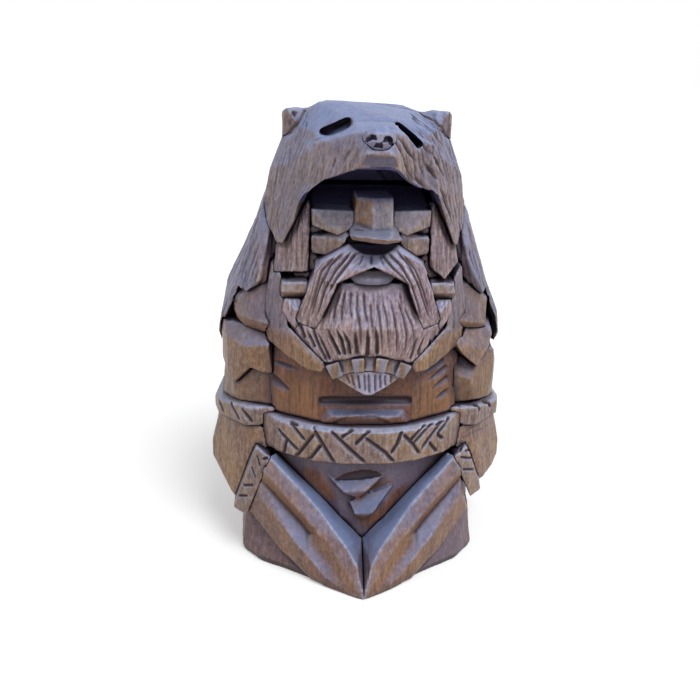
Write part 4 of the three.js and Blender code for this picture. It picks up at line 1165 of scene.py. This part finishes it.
def carve_skirt():
    skirt = Carving("skirt", PLAIN_GRID)
    skirt.hew(3.8, 0.08, 83, 1.4)
    # Painted sky sheen on the front, left out in the brown patches
    skirt.paint("sky_sheen", lambda place, normal: normal[:, 1] < 0, 0.5)
    for outline in SKIRT_BROWN:
        bare = within(outline)(skirt.rest, skirt.normals)
        skirt.paints["sky_sheen"][bare] = 0
    skirt.blur("sky_sheen", 5)
    # Painted shade in the leaf cut
    skirt.paint("shade_and_stain", within(SKIRT_BROWN[0]), 0.6)
    skirt.sink(SKIRT_BROWN[0], 0.3)
    # Painted sky sheen on the facet
    skirt.paint("sky_sheen", within(SKIRT_FACET), 0.95)
    skirt.piece("robe")


def carve_base():
    base = Carving("base", PLAIN_GRID, grow=0.02)
    base.hew(4.2, 0.1, 84, 1.2)
    # Painted shadow along the bottom, and painted sky sheen on the figure's left side
    base.paint("shade_and_stain", lambda place, normal: place[:, 2] < 1.1, 0.7)
    base.paint("sky_sheen", lambda place, normal: place[:, 0] > 10, 0.4)
    base.blur("sky_sheen", 12)
    base.piece("base")


carve_hood()
carve_bear_nose()
carve_ears()
carve_pelt_side("pelt_side_left", 21)
carve_pelt_side("pelt_side_right", 22)
carve_pelt_back()
carve_face()
carve_nose()
carve_brows()
carve_cheeks()
carve_lip()
carve_moustache()
carve_beard()
carve_beard_tip()
carve_beard_ring()
for side, name in ((-1, "right"), (1, "left")):
    carve_side_hair(side, name)
for side, name, other in ((-1, "right", "left"), (1, "left", "right")):
    carve_collar(side, name)
    carve_sleeves(side, name)
    carve_forearm(side, name)
    carve_hand(side, name, other)
carve_bands()
carve_torso()
carve_belt()
carve_skirt()
carve_base()


# Studio: a pale floor, a soft key from above and a camera at the photograph's angle

def seen_directly(graph):
    path = graph.node("LightPath")
    seen = graph.math("MAXIMUM", path.outputs["Is Camera Ray"], path.outputs["Is Glossy Ray"])
    return graph.math("MAXIMUM", seen, path.outputs["Is Transmission Ray"])


FLOOR_HALF = 1.5
FLOOR_GLOW = 0.34
SKY_STRENGTH = 0.42

# Strengths of the two lamps, and the angles in degrees over which they spread
KEY_STRENGTH = 1.9
KEY_SPREAD = 30
FILL_STRENGTH = 0.3
FILL_SPREAD = 80

# The camera that fits the photograph, in degrees, metres and millimetres of lens
CAMERA_TURN = -4.2
CAMERA_HEIGHT = 20
CAMERA_ROLL = 1.65
CAMERA_DISTANCE = 0.160
CAMERA_TARGET = (-0.00175, 0, 0.036)
LENS = 45.4
SENSOR = 36


def make_floor():
    half = FLOOR_HALF
    mesh = bpy.data.meshes.new("floor")
    mesh.from_pydata([(-half, -half, 0), (half, -half, 0), (half, half, 0), (-half, half, 0)],
                     [], [(0, 1, 2, 3)])
    floor = placed("floor", mesh)
    material = bpy.data.materials.new("pale_floor")
    g = Graph(material)
    matte = g.node("BsdfDiffuse", {"Color": (0.82, 0.82, 0.82, 1)})
    glow = g.node("Emission", {"Color": (1, 1, 1, 1)})
    g.feed(glow.inputs["Strength"], g.times(seen_directly(g), FLOOR_GLOW))
    both = g.node("AddShader", {0: matte.outputs[0], 1: glow.outputs[0]})
    g.node("OutputMaterial", {"Surface": both.outputs[0]})
    mesh.materials.append(material)


def make_world():
    world = bpy.data.worlds.new("studio")
    bpy.context.scene.world = world
    g = Graph(world)
    light = g.node("Background", {
        "Color": (0.95, 0.97, 1.0, 1), "Strength": SKY_STRENGTH})
    white = g.node("Background", {"Color": (1, 1, 1, 1), "Strength": 1.0})
    mixed = g.node("MixShader", {
        0: seen_directly(g), 1: light.outputs[0], 2: white.outputs[0]})
    g.node("OutputWorld", {"Surface": mixed.outputs[0]})


def make_lamp(name, towards, strength, spread, color=(1, 1, 1)):
    lamp = bpy.data.lights.new(name, "SUN")
    lamp.energy = strength
    lamp.angle = math.radians(spread)
    lamp.color = color
    holder = placed(name, lamp)
    holder.rotation_mode = "QUATERNION"
    holder.rotation_quaternion = Vector(towards).to_track_quat("-Z", "Y")


def make_camera():
    azimuth = math.radians(CAMERA_TURN)
    height = math.radians(CAMERA_HEIGHT)
    roll = math.radians(CAMERA_ROLL)
    back = Vector((math.sin(azimuth) * math.cos(height),
                   -math.cos(azimuth) * math.cos(height), math.sin(height)))
    right = (-back).cross(Vector((0, 0, 1))).normalized()
    up = right.cross(-back)
    turned_right = math.cos(roll) * right + math.sin(roll) * up
    turned_up = math.cos(roll) * up - math.sin(roll) * right
    turn = Matrix((turned_right, turned_up, back)).transposed()
    camera = bpy.data.cameras.new("camera")
    camera.sensor_width = SENSOR
    camera.lens = LENS
    camera.clip_start = 0.001
    holder = placed("camera", camera)
    place = Vector(CAMERA_TARGET) + back * CAMERA_DISTANCE
    holder.matrix_world = Matrix.Translation(place) @ turn.to_4x4()
    bpy.context.scene.camera = holder


make_floor()
make_world()
make_lamp("key", (-0.3, 0.5, -0.9), KEY_STRENGTH, KEY_SPREAD)
make_lamp("fill", (0.7, 0.8, -0.25), FILL_STRENGTH, FILL_SPREAD, (1.0, 0.95, 0.88))
make_camera()
bpy.context.scene.view_settings.view_transform = "Standard"
